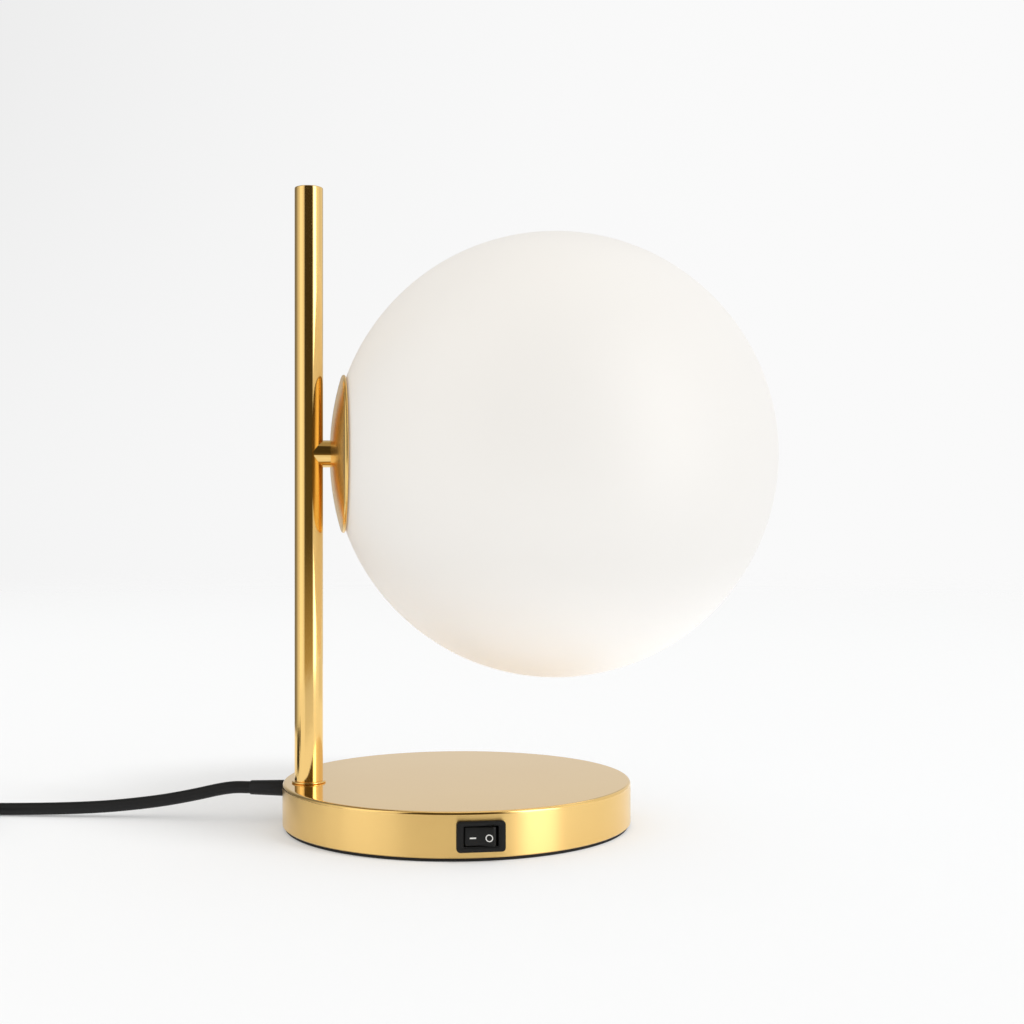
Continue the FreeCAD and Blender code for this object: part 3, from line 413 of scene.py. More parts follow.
def modified(piece, kind, **settings):
    """Adds a modifier and applies it."""
    pick(piece)
    modifier = piece.modifiers.new(kind.lower(), kind)
    for name, setting in settings.items():
        setattr(modifier, name, setting)
    bpy.ops.object.modifier_apply(modifier=modifier.name)
    return piece


def edges_rounded(piece, width, segments, degrees=30):
    """Rounds every edge that turns by more than so many degrees."""
    limit = {"limit_method": "ANGLE", "angle_limit": math.radians(degrees)}
    return modified(piece, "BEVEL", width=width * MM, segments=segments, **limit)


def carved(piece, *tools):
    """The piece with each tool cut out of it."""
    for tool in tools:
        modified(piece, "BOOLEAN", object=tool, operation="DIFFERENCE", solver="EXACT")
        bpy.data.objects.remove(tool, do_unlink=True)
    return piece


AXIS_TURNS = {"Z": (0, 0, 0), "X": (0, math.radians(90), 0), "-Y": (math.radians(90), 0, 0)}


def turned(name, profile, axis="Z", place=(0, 0, 0), segments=96):
    """A turned piece: a ring at the first (radius, height), extruded and resized from corner to corner. A
    profile that doesn't end on the axis is closed onto its first ring."""
    deselect()
    first = radius, height = profile[0]
    bpy.ops.mesh.primitive_circle_add(vertices=segments, radius=radius * MM, location=(0, 0, height * MM))
    piece = bpy.context.object
    piece.name = name
    edit_all()
    hollow = profile[-1][0] > 0
    for next_radius, next_height in [*profile[1:], *([first] if hollow else [])]:
        rise = (0, 0, (next_height - height) * MM)
        bpy.ops.mesh.extrude_region_move(TRANSFORM_OT_translate={"value": rise})
        if next_radius == 0:
            bpy.ops.mesh.merge(type="CENTER")
        else:
            share = next_radius / radius
            axis_place = (0, 0, next_height * MM)
            bpy.ops.transform.resize(value=(share, share, 1), center_override=axis_place)
        radius, height = next_radius, next_height
    bpy.ops.mesh.select_all(action="SELECT")
    bpy.ops.mesh.remove_doubles(threshold=HAIR * MM)
    if not hollow:
        bpy.ops.mesh.select_all(action="DESELECT")
        bpy.ops.mesh.select_non_manifold()
        bpy.ops.mesh.edge_face_add()
    end_edit()
    settle()
    piece.rotation_euler = AXIS_TURNS[axis]
    piece.location = Vector(place) * MM
    settle()
    return piece


def cutter(name, radius, low, high, **settings):
    """A round bar to cut with, between two heights."""
    return turned(name, [(radius, low), (radius, high), (0, high)], **settings)


def along_cord(piece):
    """Lays a piece that was turned about Z along the cord's way out of the base."""
    piece.rotation_euler = CORD_WAY.to_track_quat("Z", "Y").to_euler()
    piece.location = (0, 0, CORD_HEIGHT * MM)
    return piece


def arc(centre, radius, start, stop, steps):
    """Places along an arc of a profile, from one angle to another, in degrees."""
    angles = [math.radians(start + (stop - start) * step / steps) for step in range(steps + 1)]
    return [(centre[0] + radius * math.cos(angle), centre[1] + radius * math.sin(angle)) for angle in angles]


# --- Switch ---

SWITCH_HEIGHT = 10.5
BEZEL_WIDTH, BEZEL_HEIGHT, BEZEL_CORNER, BEZEL_EDGE = 19.7, 12.3, 1.5, 0.28
BEZEL_FRONT = -79.2
BEZEL_DEPTH = 2.9
BEZEL_DROP = 0.15
WINDOW_WIDTH, WINDOW_HEIGHT, WINDOW_CORNER = 14.1, 8.2, 0.4
CAVITY_DEPTH = 9.0
STEP_MARGIN, STEP_CORNER, STEP_DEPTH = 0.5, 0.8, 0.35
BODY_WIDTH, BODY_HEIGHT, BODY_CORNER, BODY_EDGE = 18.0, 11.2, 0.6, 0.2
BODY_FRONT = -78.0
BODY_DEPTH = 15.5
BARB_ROOT, BARB_TIP = 8.85, 9.75
BARB_FRONT = -75.2
BARB_LENGTH, BARB_WIDTH, BARB_CORNER = 4.0, 5.0, 0.2
BARB_HEEL = 0.05
ROCKER_PIVOT = (0, -75.4, SWITCH_HEIGHT)
ROCKER_REST = -8.5
ROCKER_HALF, ROCKER_BACK, ROCKER_HEIGHT = 6.6, 2.0, 7.6
ROCKER_VALLEY, ROCKER_CREST = 3.6, 4.6
CREST_HALF = 5.5
ROCKER_EDGE = 0.45
END_HALF, END_REACH = 6.45, 3.7
ROCKER_PIN_RADIUS, ROCKER_PIN_LENGTH, ROCKER_PIN_EDGE = 1.0, 10.0, 0.2
BAR_WIDTH, BAR_HEIGHT, BAR_CORNER = 2.5, 0.55, 0.1
BAR_X, RING_X = -2.75, 3.75
RING_INNER, RING_OUTER = 1.12, 1.5
MARK_HEIGHT = -0.6
INK = 0.06


def rounded_block(name, width, height, corner, low_y, depth, centre=(0, 0)):
    """A block with rounded upright corners, seen from the front, that reaches back from low_y."""
    deselect()
    bpy.ops.mesh.primitive_plane_add(size=1, rotation=(math.radians(90), 0, 0))
    piece = bpy.context.object
    piece.name = name
    piece.scale = (width * MM, height * MM, 1)
    piece.location = (centre[0] * MM, low_y * MM, centre[1] * MM)
    settle()
    edit_all()
    bpy.ops.mesh.bevel(offset=corner * MM, segments=6, affect="VERTICES")
    bpy.ops.mesh.select_all(action="SELECT")
    bpy.ops.mesh.extrude_region_move(TRANSFORM_OT_translate={"value": (0, depth * MM, 0)})
    end_edit()
    return piece


def joined(name, *parts):
    deselect()
    for part in parts:
        part.select_set(True)
    bpy.context.view_layer.objects.active = parts[0]
    bpy.ops.object.join()
    parts[0].name = name
    return parts[0]


def window_cutter(depth):
    size = (WINDOW_WIDTH, WINDOW_HEIGHT, WINDOW_CORNER)
    return rounded_block("window", *size, BEZEL_FRONT - SPARE, SPARE + depth, (0, SWITCH_HEIGHT))


def make_bezel():
    """The frame round the window, stepped inside and curved behind to sit on the base."""
    size = (BEZEL_WIDTH, BEZEL_HEIGHT, BEZEL_CORNER)
    bezel = rounded_block("bezel", *size, BEZEL_FRONT, BEZEL_DEPTH, (0, SWITCH_HEIGHT - BEZEL_DROP))
    size = (WINDOW_WIDTH + 2 * STEP_MARGIN, WINDOW_HEIGHT + 2 * STEP_MARGIN, STEP_CORNER)
    step = rounded_block("window_step", *size, BEZEL_FRONT - SPARE, SPARE + STEP_DEPTH, (0, SWITCH_HEIGHT))
    base = cutter("base_round", BASE_RADIUS, 0, BASE_TOP + 2 * SPARE, segments=256)
    return edges_rounded(carved(bezel, base, window_cutter(CAVITY_DEPTH), step), BEZEL_EDGE, 3, 50)


def make_barb(way):
    """A snap barb on one side of the body: square in front and sloped off behind."""
    width = BARB_TIP - BARB_ROOT
    centre = ((BARB_ROOT + BARB_TIP) / 2 * way, SWITCH_HEIGHT)
    barb = rounded_block("barb", width, BARB_WIDTH, BARB_CORNER, BARB_FRONT, BARB_LENGTH, centre)
    for corner in barb.data.vertices:
        outside = abs(corner.co.x) > centre[0] * way * MM
        if outside and corner.co.y > (BARB_FRONT + BARB_LENGTH / 2) * MM:
            corner.co.x = (BARB_ROOT + BARB_HEEL) * MM * way
    return barb


def make_housing():
    """The bezel with its moulded body and snap barbs."""
    bezel = make_bezel()
    size = (BODY_WIDTH, BODY_HEIGHT, BODY_CORNER)
    body = rounded_block("body", *size, BODY_FRONT, BODY_DEPTH, (0, SWITCH_HEIGHT))
    barbs = [make_barb(way) for way in (-1, 1)]
    body = edges_rounded(carved(body, window_cutter(CAVITY_DEPTH - HAIR)), BODY_EDGE, 2, 50)
    housing = smooth(joined("switch_bezel", bezel, body, *barbs), 40)
    keep(housing, "lamp", "switch_black", "switch_housing")


def on_rocker(piece):
    """Turns a piece that was made for a level rocker to where the rocker rests."""
    piece.rotation_euler = (0, 0, math.radians(ROCKER_REST))
    piece.location = Vector(ROCKER_PIVOT) * MM
    return piece


def rocker_face(x):
    """How far the rocker's front stands before its pivot, at x."""
    return -(ROCKER_VALLEY + (ROCKER_CREST - ROCKER_VALLEY) * abs(x) / CREST_HALF)


def make_rocker():
    """The rocker: two slopes that meet in a shallow valley, rounded ends, and its pin."""
    deselect()
    bpy.ops.mesh.primitive_cube_add(size=1)
    rocker = bpy.context.object
    depth = ROCKER_BACK + ROCKER_CREST
    rocker.scale = (2 * ROCKER_HALF * MM, depth * MM, ROCKER_HEIGHT * MM)
    rocker.location = (0, (ROCKER_BACK - depth / 2) * MM, 0)
    settle()
    bpy.ops.object.mode_set(mode="EDIT")
    for share in (-1, -0.5, 0, 0.5, 1):
        bpy.ops.mesh.select_all(action="SELECT")
        bpy.ops.mesh.bisect(plane_co=(share * CREST_HALF * MM, 0, 0), plane_no=(1, 0, 0))
    bpy.ops.object.mode_set(mode="OBJECT")
    for corner in rocker.data.vertices:
        x = corner.co.x / MM
        if corner.co.y < 0 and abs(x) > (CREST_HALF + ROCKER_HALF) / 2:
            corner.co.x = math.copysign(END_HALF * MM, x)
            corner.co.y = -END_REACH * MM
        elif corner.co.y < 0:
            corner.co.y = rocker_face(x) * MM
    edges_rounded(rocker, ROCKER_EDGE, 4, 25)
    deselect()
    size = {"radius": ROCKER_PIN_RADIUS * MM, "depth": ROCKER_PIN_LENGTH * MM}
    bpy.ops.mesh.primitive_cylinder_add(vertices=32, **size)
    pin = edges_rounded(bpy.context.object, ROCKER_PIN_EDGE, 2)
    rocker = on_rocker(smooth(joined("rocker", rocker, pin), 35))
    keep(rocker, "rocker", "switch_black", "switch_rocker")


def make_ring_mark():
    deselect()
    bpy.ops.mesh.primitive_circle_add(vertices=64, radius=RING_INNER * MM, rotation=(math.radians(90), 0, 0))
    ring = bpy.context.object
    ring.name = "off_mark"
    settle()
    edit_all()
    bpy.ops.mesh.extrude_region_move()
    wider = RING_OUTER / RING_INNER
    bpy.ops.transform.resize(value=(wider, 1, wider), center_override=(0, 0, 0))
    bpy.ops.mesh.select_all(action="SELECT")
    bpy.ops.mesh.extrude_region_move(TRANSFORM_OT_translate={"value": (0, INK * MM, 0)})
    bpy.ops.mesh.select_all(action="SELECT")
    bpy.ops.transform.translate(value=(RING_X * MM, 0, MARK_HEIGHT * MM))
    end_edit()
    return ring


def make_marks():
    """The printed on and off marks: a bar and a ring, half sunk in the rocker's face."""
    bar = rounded_block("on_mark", BAR_WIDTH, BAR_HEIGHT, BAR_CORNER, 0, INK, (BAR_X, MARK_HEIGHT))
    for mark in (bar, make_ring_mark()):
        for corner in mark.data.vertices:
            corner.co.y += (rocker_face(corner.co.x / MM) - INK / 2) * MM
        keep(on_rocker(mark), "rocker", "switch_black", finish=mark_white)


# --- Base ---

SHELL_WALL = 1.2
TOP_EDGE, LOWER_EDGE = 1.3, 0.4
SHELL_FACETS = 256
PAD_RADIUS, PAD_EDGE = 76.5, 0.6
SCREW_CIRCLE, SCREW_POCKET = 40.0, 4.1
POST_HOLE = 5.1
CORD_HOLE = 3.8
CORD_HOLE_REACH = (70, 80)
SWITCH_SLACK = 0.2
SWITCH_HOLE_CORNER, SWITCH_HOLE_DEPTH = 0.4, 5


def make_base_shell():
    """The spun brass shell with its rolled top edge, open below, with the holes for switch, cord and post."""
    inner = BASE_RADIUS - SHELL_WALL
    wall_top = BASE_TOP - TOP_EDGE
    corners = [
        (BASE_RADIUS - LOWER_EDGE, PAD_THICKNESS),
        (BASE_RADIUS, PAD_THICKNESS + LOWER_EDGE),
        (BASE_RADIUS, BASE_TOP / 2),
        (BASE_RADIUS, wall_top - 0.5),
        *arc((BASE_RADIUS - TOP_EDGE, wall_top), TOP_EDGE, 0, 90, 10),
        (BASE_RADIUS - TOP_EDGE - 0.6, BASE_TOP),
        (SCREW_CIRCLE, BASE_TOP),
        (0, BASE_TOP),
    ]
    shell = turned("base", corners, segments=SHELL_FACETS)
    hollow = cutter("hollow", inner, -SPARE, BASE_TOP - SHELL_WALL, segments=SHELL_FACETS)
    size = (BODY_WIDTH + SWITCH_SLACK, BODY_HEIGHT + SWITCH_SLACK, SWITCH_HOLE_CORNER)
    front = -BASE_RADIUS - 2 * SPARE
    window = rounded_block("window", *size, front, SWITCH_HOLE_DEPTH, (0, SWITCH_HEIGHT))
    post_place = (POST_X, 0, 0)
    post_hole = cutter("post_hole", POST_HOLE, BASE_TOP / 2, BASE_TOP * 1.5, place=post_place, segments=48)
    cord_hole = along_cord(cutter("cord_hole", CORD_HOLE, *CORD_HOLE_REACH, segments=48))
    carved(shell, hollow, window, post_hole, cord_hole)
    keep(smooth(shell, 25), "lamp", "brass", "base_shell")
    shell.data.materials.append(turned_wall)
    for face in shell.data.polygons:
        out = Vector((face.center.x, face.center.y, 0)).length / MM
        on_wall = out > BASE_RADIUS - 0.5 and abs(face.normal.z) < 0.1
        if on_wall and face.center.z < (wall_top - 0.1) * MM:
            face.material_index = 1


def make_foot_pad():
    """The soft pad, with its edges rounded by the die that cut it."""
    edge = arc((PAD_RADIUS - PAD_EDGE, PAD_EDGE), PAD_EDGE, -90, 0, 4)
    top = [(PAD_RADIUS, PAD_THICKNESS - 0.3), (PAD_RADIUS - 0.2, PAD_THICKNESS), (0, PAD_THICKNESS)]
    pad = turned("pad", [*edge, *top], segments=192)
    pockets = []
    for number in range(3):
        angle = math.radians(90 + 120 * number)
        place = (SCREW_CIRCLE * math.cos(angle), SCREW_CIRCLE * math.sin(angle), 0)
        pockets.append(cutter("pocket", SCREW_POCKET, -SPARE, 2 * SPARE, place=place, segments=32))
    keep(smooth(carved(pad, *pockets), 40), "lamp", "black_pad", "foot_pad")


# --- Post ---

POST_INNER = 5.25
POST_FACETS = 128
CAP_THICKNESS, CAP_PLUG, CAP_EDGE = 1.5, 5.0, 0.5
SEAM = 0.03
RING_TOP = 20.9
RING_EDGE = 0.45
FOOT_RING_RADIUS = 7.5


def make_post():
    """The tube, its cap with a fine seam between them, and the ring it stands on."""
    place = (POST_X, 0, 0)
    tube_top = POST_TOP - CAP_THICKNESS
    corners = [
        (POST_INNER, RING_TOP),
        (POST_RADIUS - 0.1, RING_TOP),
        (POST_RADIUS, RING_TOP + 0.1),
        (POST_RADIUS, tube_top - SEAM),
        (POST_RADIUS - SEAM, tube_top),
        (POST_INNER, tube_top),
    ]
    tube = turned("post", corners, place=place, segments=POST_FACETS)
    arm_place = (POST_X, 0, HEAD_HEIGHT)
    arm_hole = cutter("arm_hole", NIPPLE_HOLE, 0, 2 * POST_RADIUS, axis="X", place=arm_place, segments=48)
    keep(smooth(carved(tube, arm_hole)), "lamp", "brass", "post_tube")

    plug_radius = POST_INNER - 0.05
    corners = [
        (plug_radius, tube_top - CAP_PLUG),
        (plug_radius, tube_top),
        (POST_RADIUS - SEAM, tube_top),
        (POST_RADIUS, tube_top + SEAM),
        *arc((POST_RADIUS - CAP_EDGE, POST_TOP - CAP_EDGE), CAP_EDGE, 0, 90, 6),
        (plug_radius, POST_TOP),
        (0, POST_TOP),
    ]
    cap = turned("cap", corners, place=place, segments=POST_FACETS)
    keep(smooth(cap, 35), "lamp", "brass", "post_cap")

    edge = arc((FOOT_RING_RADIUS - RING_EDGE, BASE_TOP + RING_EDGE), RING_EDGE, -90, 90, 10)
    corners = [(POST_HOLE, BASE_TOP), *edge, (POST_HOLE, RING_TOP)]
    ring = turned("post_ring", corners, place=place, segments=96)
    keep(smooth(ring, 35), "lamp", "brass", "post_foot_ring")


# --- Head ---

SPIGOT_RADIUS = 6.0
DISH_RADIUS = 35
DISH_FLAT = 8
DISH_CURVE = 120
DISH_WALL = 1
GLASS_WALL = 2.5
MOUTH_RADIUS, MOUTH_EDGE = 27.3, 0.7


def make_spigot():
    """The stub arm, saddled to the post."""
    start = POST_X + 1
    corners = [(NIPPLE_HOLE, start), (SPIGOT_RADIUS, start), (SPIGOT_RADIUS, DISH_X), (NIPPLE_HOLE, DISH_X)]
    spigot = turned("stub_arm", corners, "X", HEAD_PLACE, 96)
    reach = 15
    saddle_size = (POST_RADIUS + 0.05, HEAD_HEIGHT - reach, HEAD_HEIGHT + reach)
    saddle = cutter("saddle", *saddle_size, place=(POST_X, 0, 0), segments=128)
    keep(smooth(carved(spigot, saddle)), "lamp", "brass", "side_spigot")


def dish_places(radius, start, steps):
    """Places on the dish's curve, where start is its place along the arm at the edge of the flat."""
    flat = start + math.sqrt(radius**2 - DISH_FLAT**2)
    return [(out, flat - math.sqrt(radius**2 - out**2)) for out in steps]


def make_dish():
    """The spun dish: a shallow cap with a rolled rim that stands just clear of the glass."""
    inner_face = DISH_X + DISH_WALL
    back = dish_places(DISH_CURVE, DISH_X, range(DISH_FLAT, DISH_RADIUS, 2))
    rim = [
        (34.45, 0.2),
        (34.8, 0.48),
        (34.98, 0.85),
        (34.98, 1.2),
        (34.82, 1.5),
        (34.5, 1.7),
        (33.8, 1.7),
        (33.5, 1.55),
    ]
    rim = [(out, back[-1][1] + ahead) for out, ahead in rim]
    inside = dish_places(DISH_CURVE - DISH_WALL, inner_face, (33.5, *range(32, DISH_FLAT - 1, -2)))
    clamped = [(NIPPLE_HOLE, DISH_X), (DISH_FLAT - 0.6, DISH_X)]
    corners = [*clamped, *back, *rim, *inside, (NIPPLE_HOLE, inner_face)]
    dish = turned("dish_cap", corners, "X", HEAD_PLACE, 160)
    keep(smooth(dish, 40), "lamp", "brass", "dish", finish=spun_dish)


def make_globe():
    """The blown glass, open where its ring is glued in, with a fire-polished mouth."""
    deselect()
    bpy.ops.mesh.primitive_uv_sphere_add(segments=160, ring_count=96, radius=GLOBE_RADIUS * MM)
    globe = bpy.context.object
    globe.name = "globe"
    globe.rotation_euler = AXIS_TURNS["X"]
    globe.location = (GLOBE_X * MM, 0, HEAD_HEIGHT * MM)
    settle()
    edit_all()
    mouth_x = GLOBE_X - math.sqrt(GLOBE_RADIUS**2 - MOUTH_RADIUS**2)
    bpy.ops.mesh.bisect(plane_co=(mouth_x * MM, 0, 0), plane_no=(1, 0, 0), clear_inner=True)
    bpy.ops.object.mode_set(mode="OBJECT")
    modified(globe, "SOLIDIFY", thickness=GLASS_WALL * MM, offset=-1)
    edges_rounded(globe, MOUTH_EDGE, 4, 50)
    keep(smooth(globe, 40), "globe", "opal_glass", "glass_globe")


# --- Cord ends ---

CORD_BORE = 2.85
BUSH_FLANGE_RADIUS, BUSH_FLANGE_END = 4.4, 74.6
BUSH_START = 73.2
BUSH_RADIUS = 3.7
BUSH_TIP_RADIUS, BUSH_TIP = 3.2, 94.2
BUSH_END = BUSH_TIP + 0.5
PLUG_WIDTH, PLUG_LENGTH = 35.3, 34.0
PLUG_STRAIGHT = 12.0
PLUG_EDGE = 1.0
NECK_WIDTH, NECK_THICKNESS = 9.0, 9.0
GROOVES, GROOVE_PITCH, GROOVE_RADIUS = 4, 3.2, 0.8
GROOVE_START = 3
GROOVE_CLEAR, GROOVE_DRIFT = 0.15, 2.2
TAIL_LENGTH = 12.0
TAIL_START_RADIUS, TAIL_RADIUS, TAIL_END_RADIUS = 3.0, 3.2, 4.4
RIBS, RIB_PITCH, RIB_WIDTH, RIB_EDGE = 5, 2.3, 1.5, 0.2
RIB_START = 0.4
RIB_RADIUS, RIB_GROWTH = 3.45, 0.21
PIN_SPACING = 18.6
PLUG_PIN_RADIUS, PLUG_PIN_LENGTH = 2.0, 19.0
SLEEVE_RADIUS, SLEEVE_LENGTH = 1.9, 9.8


def make_bush():
    """The tapered strain relief, flanged behind the base's wall."""
    corners = [
        (CORD_BORE, BUSH_START),
        (BUSH_FLANGE_RADIUS, BUSH_START),
        (BUSH_FLANGE_RADIUS, BUSH_FLANGE_END),
        (BUSH_RADIUS, BUSH_FLANGE_END + 0.2),
        (BUSH_RADIUS, BASE_RADIUS + 0.1),
        (BUSH_RADIUS - 0.1, BASE_RADIUS + 2.5),
        (BUSH_TIP_RADIUS, BUSH_TIP),
        (BUSH_TIP_RADIUS - 0.15, BUSH_TIP + 0.4),
        (CORD_BORE, BUSH_END),
    ]
    bush = along_cord(turned("strain_relief", corners, segments=64))
    keep(smooth(bush, 40), "lamp", "cord_black", "cord_bush")


def plug_sections():
    """The plug's width and thickness at each distance behind its face. It narrows in a curve to its neck."""
    yield PLUG_EDGE + 0.2, PLUG_WIDTH, PLUG_THICKNESS
    yield PLUG_STRAIGHT - 3, PLUG_WIDTH, PLUG_THICKNESS
    width, thickness = PLUG_WIDTH - 0.1, PLUG_THICKNESS - 0.1
    yield PLUG_STRAIGHT, width, thickness
    for share in (0.2, 0.4, 0.6, 0.8, 0.92, 1):
        back = PLUG_STRAIGHT + (PLUG_LENGTH - PLUG_STRAIGHT) * share
        narrowed = width - (width - NECK_WIDTH) * share**1.7
        yield back, narrowed, thickness - (thickness - NECK_THICKNESS) * share**1.5


def finger_grooves(middle, face):
    """Upright bars along both narrowing sides of the plug, to cut its grips with."""
    for number in range(GROOVES):
        out = PLUG_WIDTH / 2 + GROOVE_CLEAR - GROOVE_DRIFT * (number / (GROOVES - 1)) ** 1.3
        back = face + PLUG_STRAIGHT + GROOVE_START + GROOVE_PITCH * number
        for way in (-1, 1):
            deselect()
            bpy.ops.mesh.primitive_cylinder_add(vertices=24, radius=GROOVE_RADIUS * MM, depth=20 * MM)
            groove = bpy.context.object
            groove.location = Vector((middle.x + out * way, back, middle.z)) * MM
            settle()
            yield groove


def make_plug_body(middle, face):
    """The moulded body: its face, drawn back from section to section, with finger grips cut in its sides."""
    width, thickness, reached = PLUG_WIDTH - PLUG_EDGE, PLUG_THICKNESS - PLUG_EDGE, PLUG_EDGE / 2
    body = rounded_block("plug", width, thickness, 3.4, face, reached, (middle.x, middle.z))
    pick(body)
    bpy.ops.object.mode_set(mode="EDIT")
    bpy.ops.mesh.select_mode(type="FACE")
    bpy.ops.mesh.select_all(action="DESELECT")
    bpy.ops.object.mode_set(mode="OBJECT")
    for side in body.data.polygons:
        side.select = side.normal.y > 0.9
    bpy.ops.object.mode_set(mode="EDIT")
    for back, next_width, next_thickness in plug_sections():
        bpy.ops.mesh.extrude_region_move(TRANSFORM_OT_translate={"value": (0, (back - reached) * MM, 0)})
        share = (next_width / width, 1, next_thickness / thickness)
        bpy.ops.transform.resize(value=share, center_override=(middle.x * MM, 0, middle.z * MM))
        width, thickness, reached = next_width, next_thickness, back
    bpy.ops.object.mode_set(mode="OBJECT")
    carved(body, *finger_grooves(middle, face))
    return keep(smooth(body, 35), "lamp", "cord_black", "plug_body")


def make_plug_tail(middle):
    """The ribbed tail, which tapers away from the plug."""
    corners = [(TAIL_START_RADIUS, 0)]
    for number in range(RIBS):
        outer = RIB_RADIUS + RIB_GROWTH * (number + 1)
        start = RIB_START + RIB_PITCH * number
        stop = start + RIB_WIDTH
        corners += [(outer - RIB_EDGE, start), (outer, start + RIB_EDGE)]
        corners += [(outer, stop - RIB_EDGE), (outer - RIB_EDGE, stop)]
        corners += [(TAIL_RADIUS, stop), (TAIL_RADIUS, start + RIB_PITCH)]
    corners += [(TAIL_END_RADIUS, TAIL_LENGTH), (0, TAIL_LENGTH)]
    tail = turned("plug_tail", corners, "-Y", middle, 48)
    return keep(smooth(tail, 35), "lamp", "cord_black", "plug_relief")


def make_pins(middle, face):
    """Two round pins with domed tips, each in an insulating sleeve for half its length."""
    dome = arc((0.01, PLUG_PIN_LENGTH - PLUG_PIN_RADIUS), PLUG_PIN_RADIUS - 0.01, 0, 88, 8)
    pin = [(PLUG_PIN_RADIUS, 8.5), *dome, (0, PLUG_PIN_LENGTH)]
    sleeve = [
        (SLEEVE_RADIUS, 0),
        (SLEEVE_RADIUS, SLEEVE_LENGTH - 0.2),
        (SLEEVE_RADIUS - 0.1, SLEEVE_LENGTH),
        (0, SLEEVE_LENGTH),
    ]
    pins, sleeves = [], []
    for way in (-1, 1):
        place = (middle.x + PIN_SPACING / 2 * way, face, middle.z)
        pins.append(turned("pin", pin, "-Y", place, 32))
        sleeves.append(turned("sleeve", sleeve, "-Y", place, 32))
    pair = keep(smooth(joined("plug_pin_pair", *pins), 40), "lamp", "nickel", "plug_pins")
    sleeve_pair = keep(smooth(joined("pin_sleeves", *sleeves), 40), "lamp", "cord_black")
    return [pair, sleeve_pair]


def make_plug(entry):
    """A two-pin plug that points along -Y and takes the cord in at entry."""
    middle = Vector((entry.x, entry.y, PLUG_THICKNESS / 2))
    face = entry.y - TAIL_LENGTH - PLUG_LENGTH
    return [make_plug_body(middle, face), make_plug_tail(middle), *make_pins(middle, face)]


make_base_shell()
make_foot_pad()
make_post()
make_spigot()
make_dish()
make_globe()
make_housing()
make_rocker()
make_marks()
make_bush()

# --- Studio ---

AMBIENT = 0.945
BACKGROUND = 0.955
FLOOR_GLOW = 0.28
FLOOR_RADIUS = 6
FLOOR_FADE = (0.9, 3.0)
LOW_LIGHT_STRENGTH = 1.05
LOW_LIGHT_SIZE = math.radians(14)
LOW_LIGHT_TILT = math.radians(36)
LOW_LIGHT_TURN = math.radians(-35)
CARD_CUTS = 23


def make_floor():
    """A pale table top that fades into the background far away."""
    deselect()
    bpy.ops.mesh.primitive_circle_add(vertices=96, radius=FLOOR_RADIUS, fill_type="NGON")
    floor = bpy.context.object
    floor.name = "table_top"
    finish = Finish("table_top", "ShaderNodeBsdfDiffuse", Color=(0.755, 0.77, 0.79, 1))
    away = finish.node("ShaderNodeVectorMath", {"operation": "LENGTH"}, {0: finish.here()}, output="Value")
    lit = finish.node("ShaderNodeEmission", {}, {"Color": (0.98, 0.98, 0.98, 1)})
    pale = finish.node("ShaderNodeMixShader", {}, {0: finish.seen() * FLOOR_GLOW, 1: finish.surface, 2: lit})
    clear = finish.node("ShaderNodeBsdfTransparent")
    fade = finish.between(away, *FLOOR_FADE)
    finish.show(finish.node("ShaderNodeMixShader", {}, {0: fade, 1: pale, 2: clear}))
    floor.data.materials.append(finish.material)
    return floor


def make_background():
    """A white room: plain white behind the object, and softer as a light."""
    world = bpy.data.worlds.new("studio")
    bpy.context.scene.world = world
    world.use_nodes = True
    room = Nodes(world.node_tree)
    way = room.node("ShaderNodeTexCoord", output="Generated")
    side = room.node("ShaderNodeSeparateXYZ", {}, {0: way}, output="X")
    left = room.between(side, 0.35, -0.17, smooth=False)
    left = left * left
    up = room.between(room.node("ShaderNodeSeparateXYZ", {}, {0: way}, output="Z"), 0, 0.33)
    backdrop = BACKGROUND - left * 0.05 - left * up * 0.06
    shown = room.seen()
    white = room.node("ShaderNodeBackground", {}, {"Color": (1, 1, 1, 1), "Strength": backdrop})
    tone = room.mixed(room.between(side, -1, 0.6), (1, 0.955, 0.885), (1, 0.995, 0.98))
    warm = room.node("ShaderNodeBackground", {}, {"Color": tone, "Strength": side * 0.07 + AMBIENT})
    light = room.node("ShaderNodeMixShader", {}, {0: shown, 1: warm, 2: white})
    room.link(light, room.tree.nodes.new("ShaderNodeOutputWorld").inputs["Surface"])


def softbox(name, place, aim, size, power):
    """A soft light that metal doesn't mirror, as the cards are there for that."""
    light = bpy.data.lights.new(name, "AREA")
    light.shape = "RECTANGLE"
    light.size, light.size_y = size
    light.energy = power
    item = bpy.data.objects.new(name, light)
    item.location = place
    item.rotation_euler = (Vector(aim) - Vector(place)).to_track_quat("-Z", "Y").to_euler()
    item.visible_glossy = False
    bpy.context.collection.objects.link(item)


def make_floor_light(floor):
    """A low light for the table top alone, that draws the soft shadow at the left of the base."""
    light = bpy.data.lights.new("low_light", "SUN")
    light.energy = LOW_LIGHT_STRENGTH
    light.angle = LOW_LIGHT_SIZE
    item = bpy.data.objects.new("low_light", light)
    item.rotation_euler = (0, LOW_LIGHT_TILT, LOW_LIGHT_TURN)
    bpy.context.collection.objects.link(item)
    lit = bpy.data.collections.new("lit_by_low_light")
    lit.objects.link(floor)
    item.light_linking.receiver_collection = lit


def only_reflected(card):
    card.visible_camera = False
    card.visible_diffuse = False
    card.visible_shadow = False
    card.visible_transmission = False


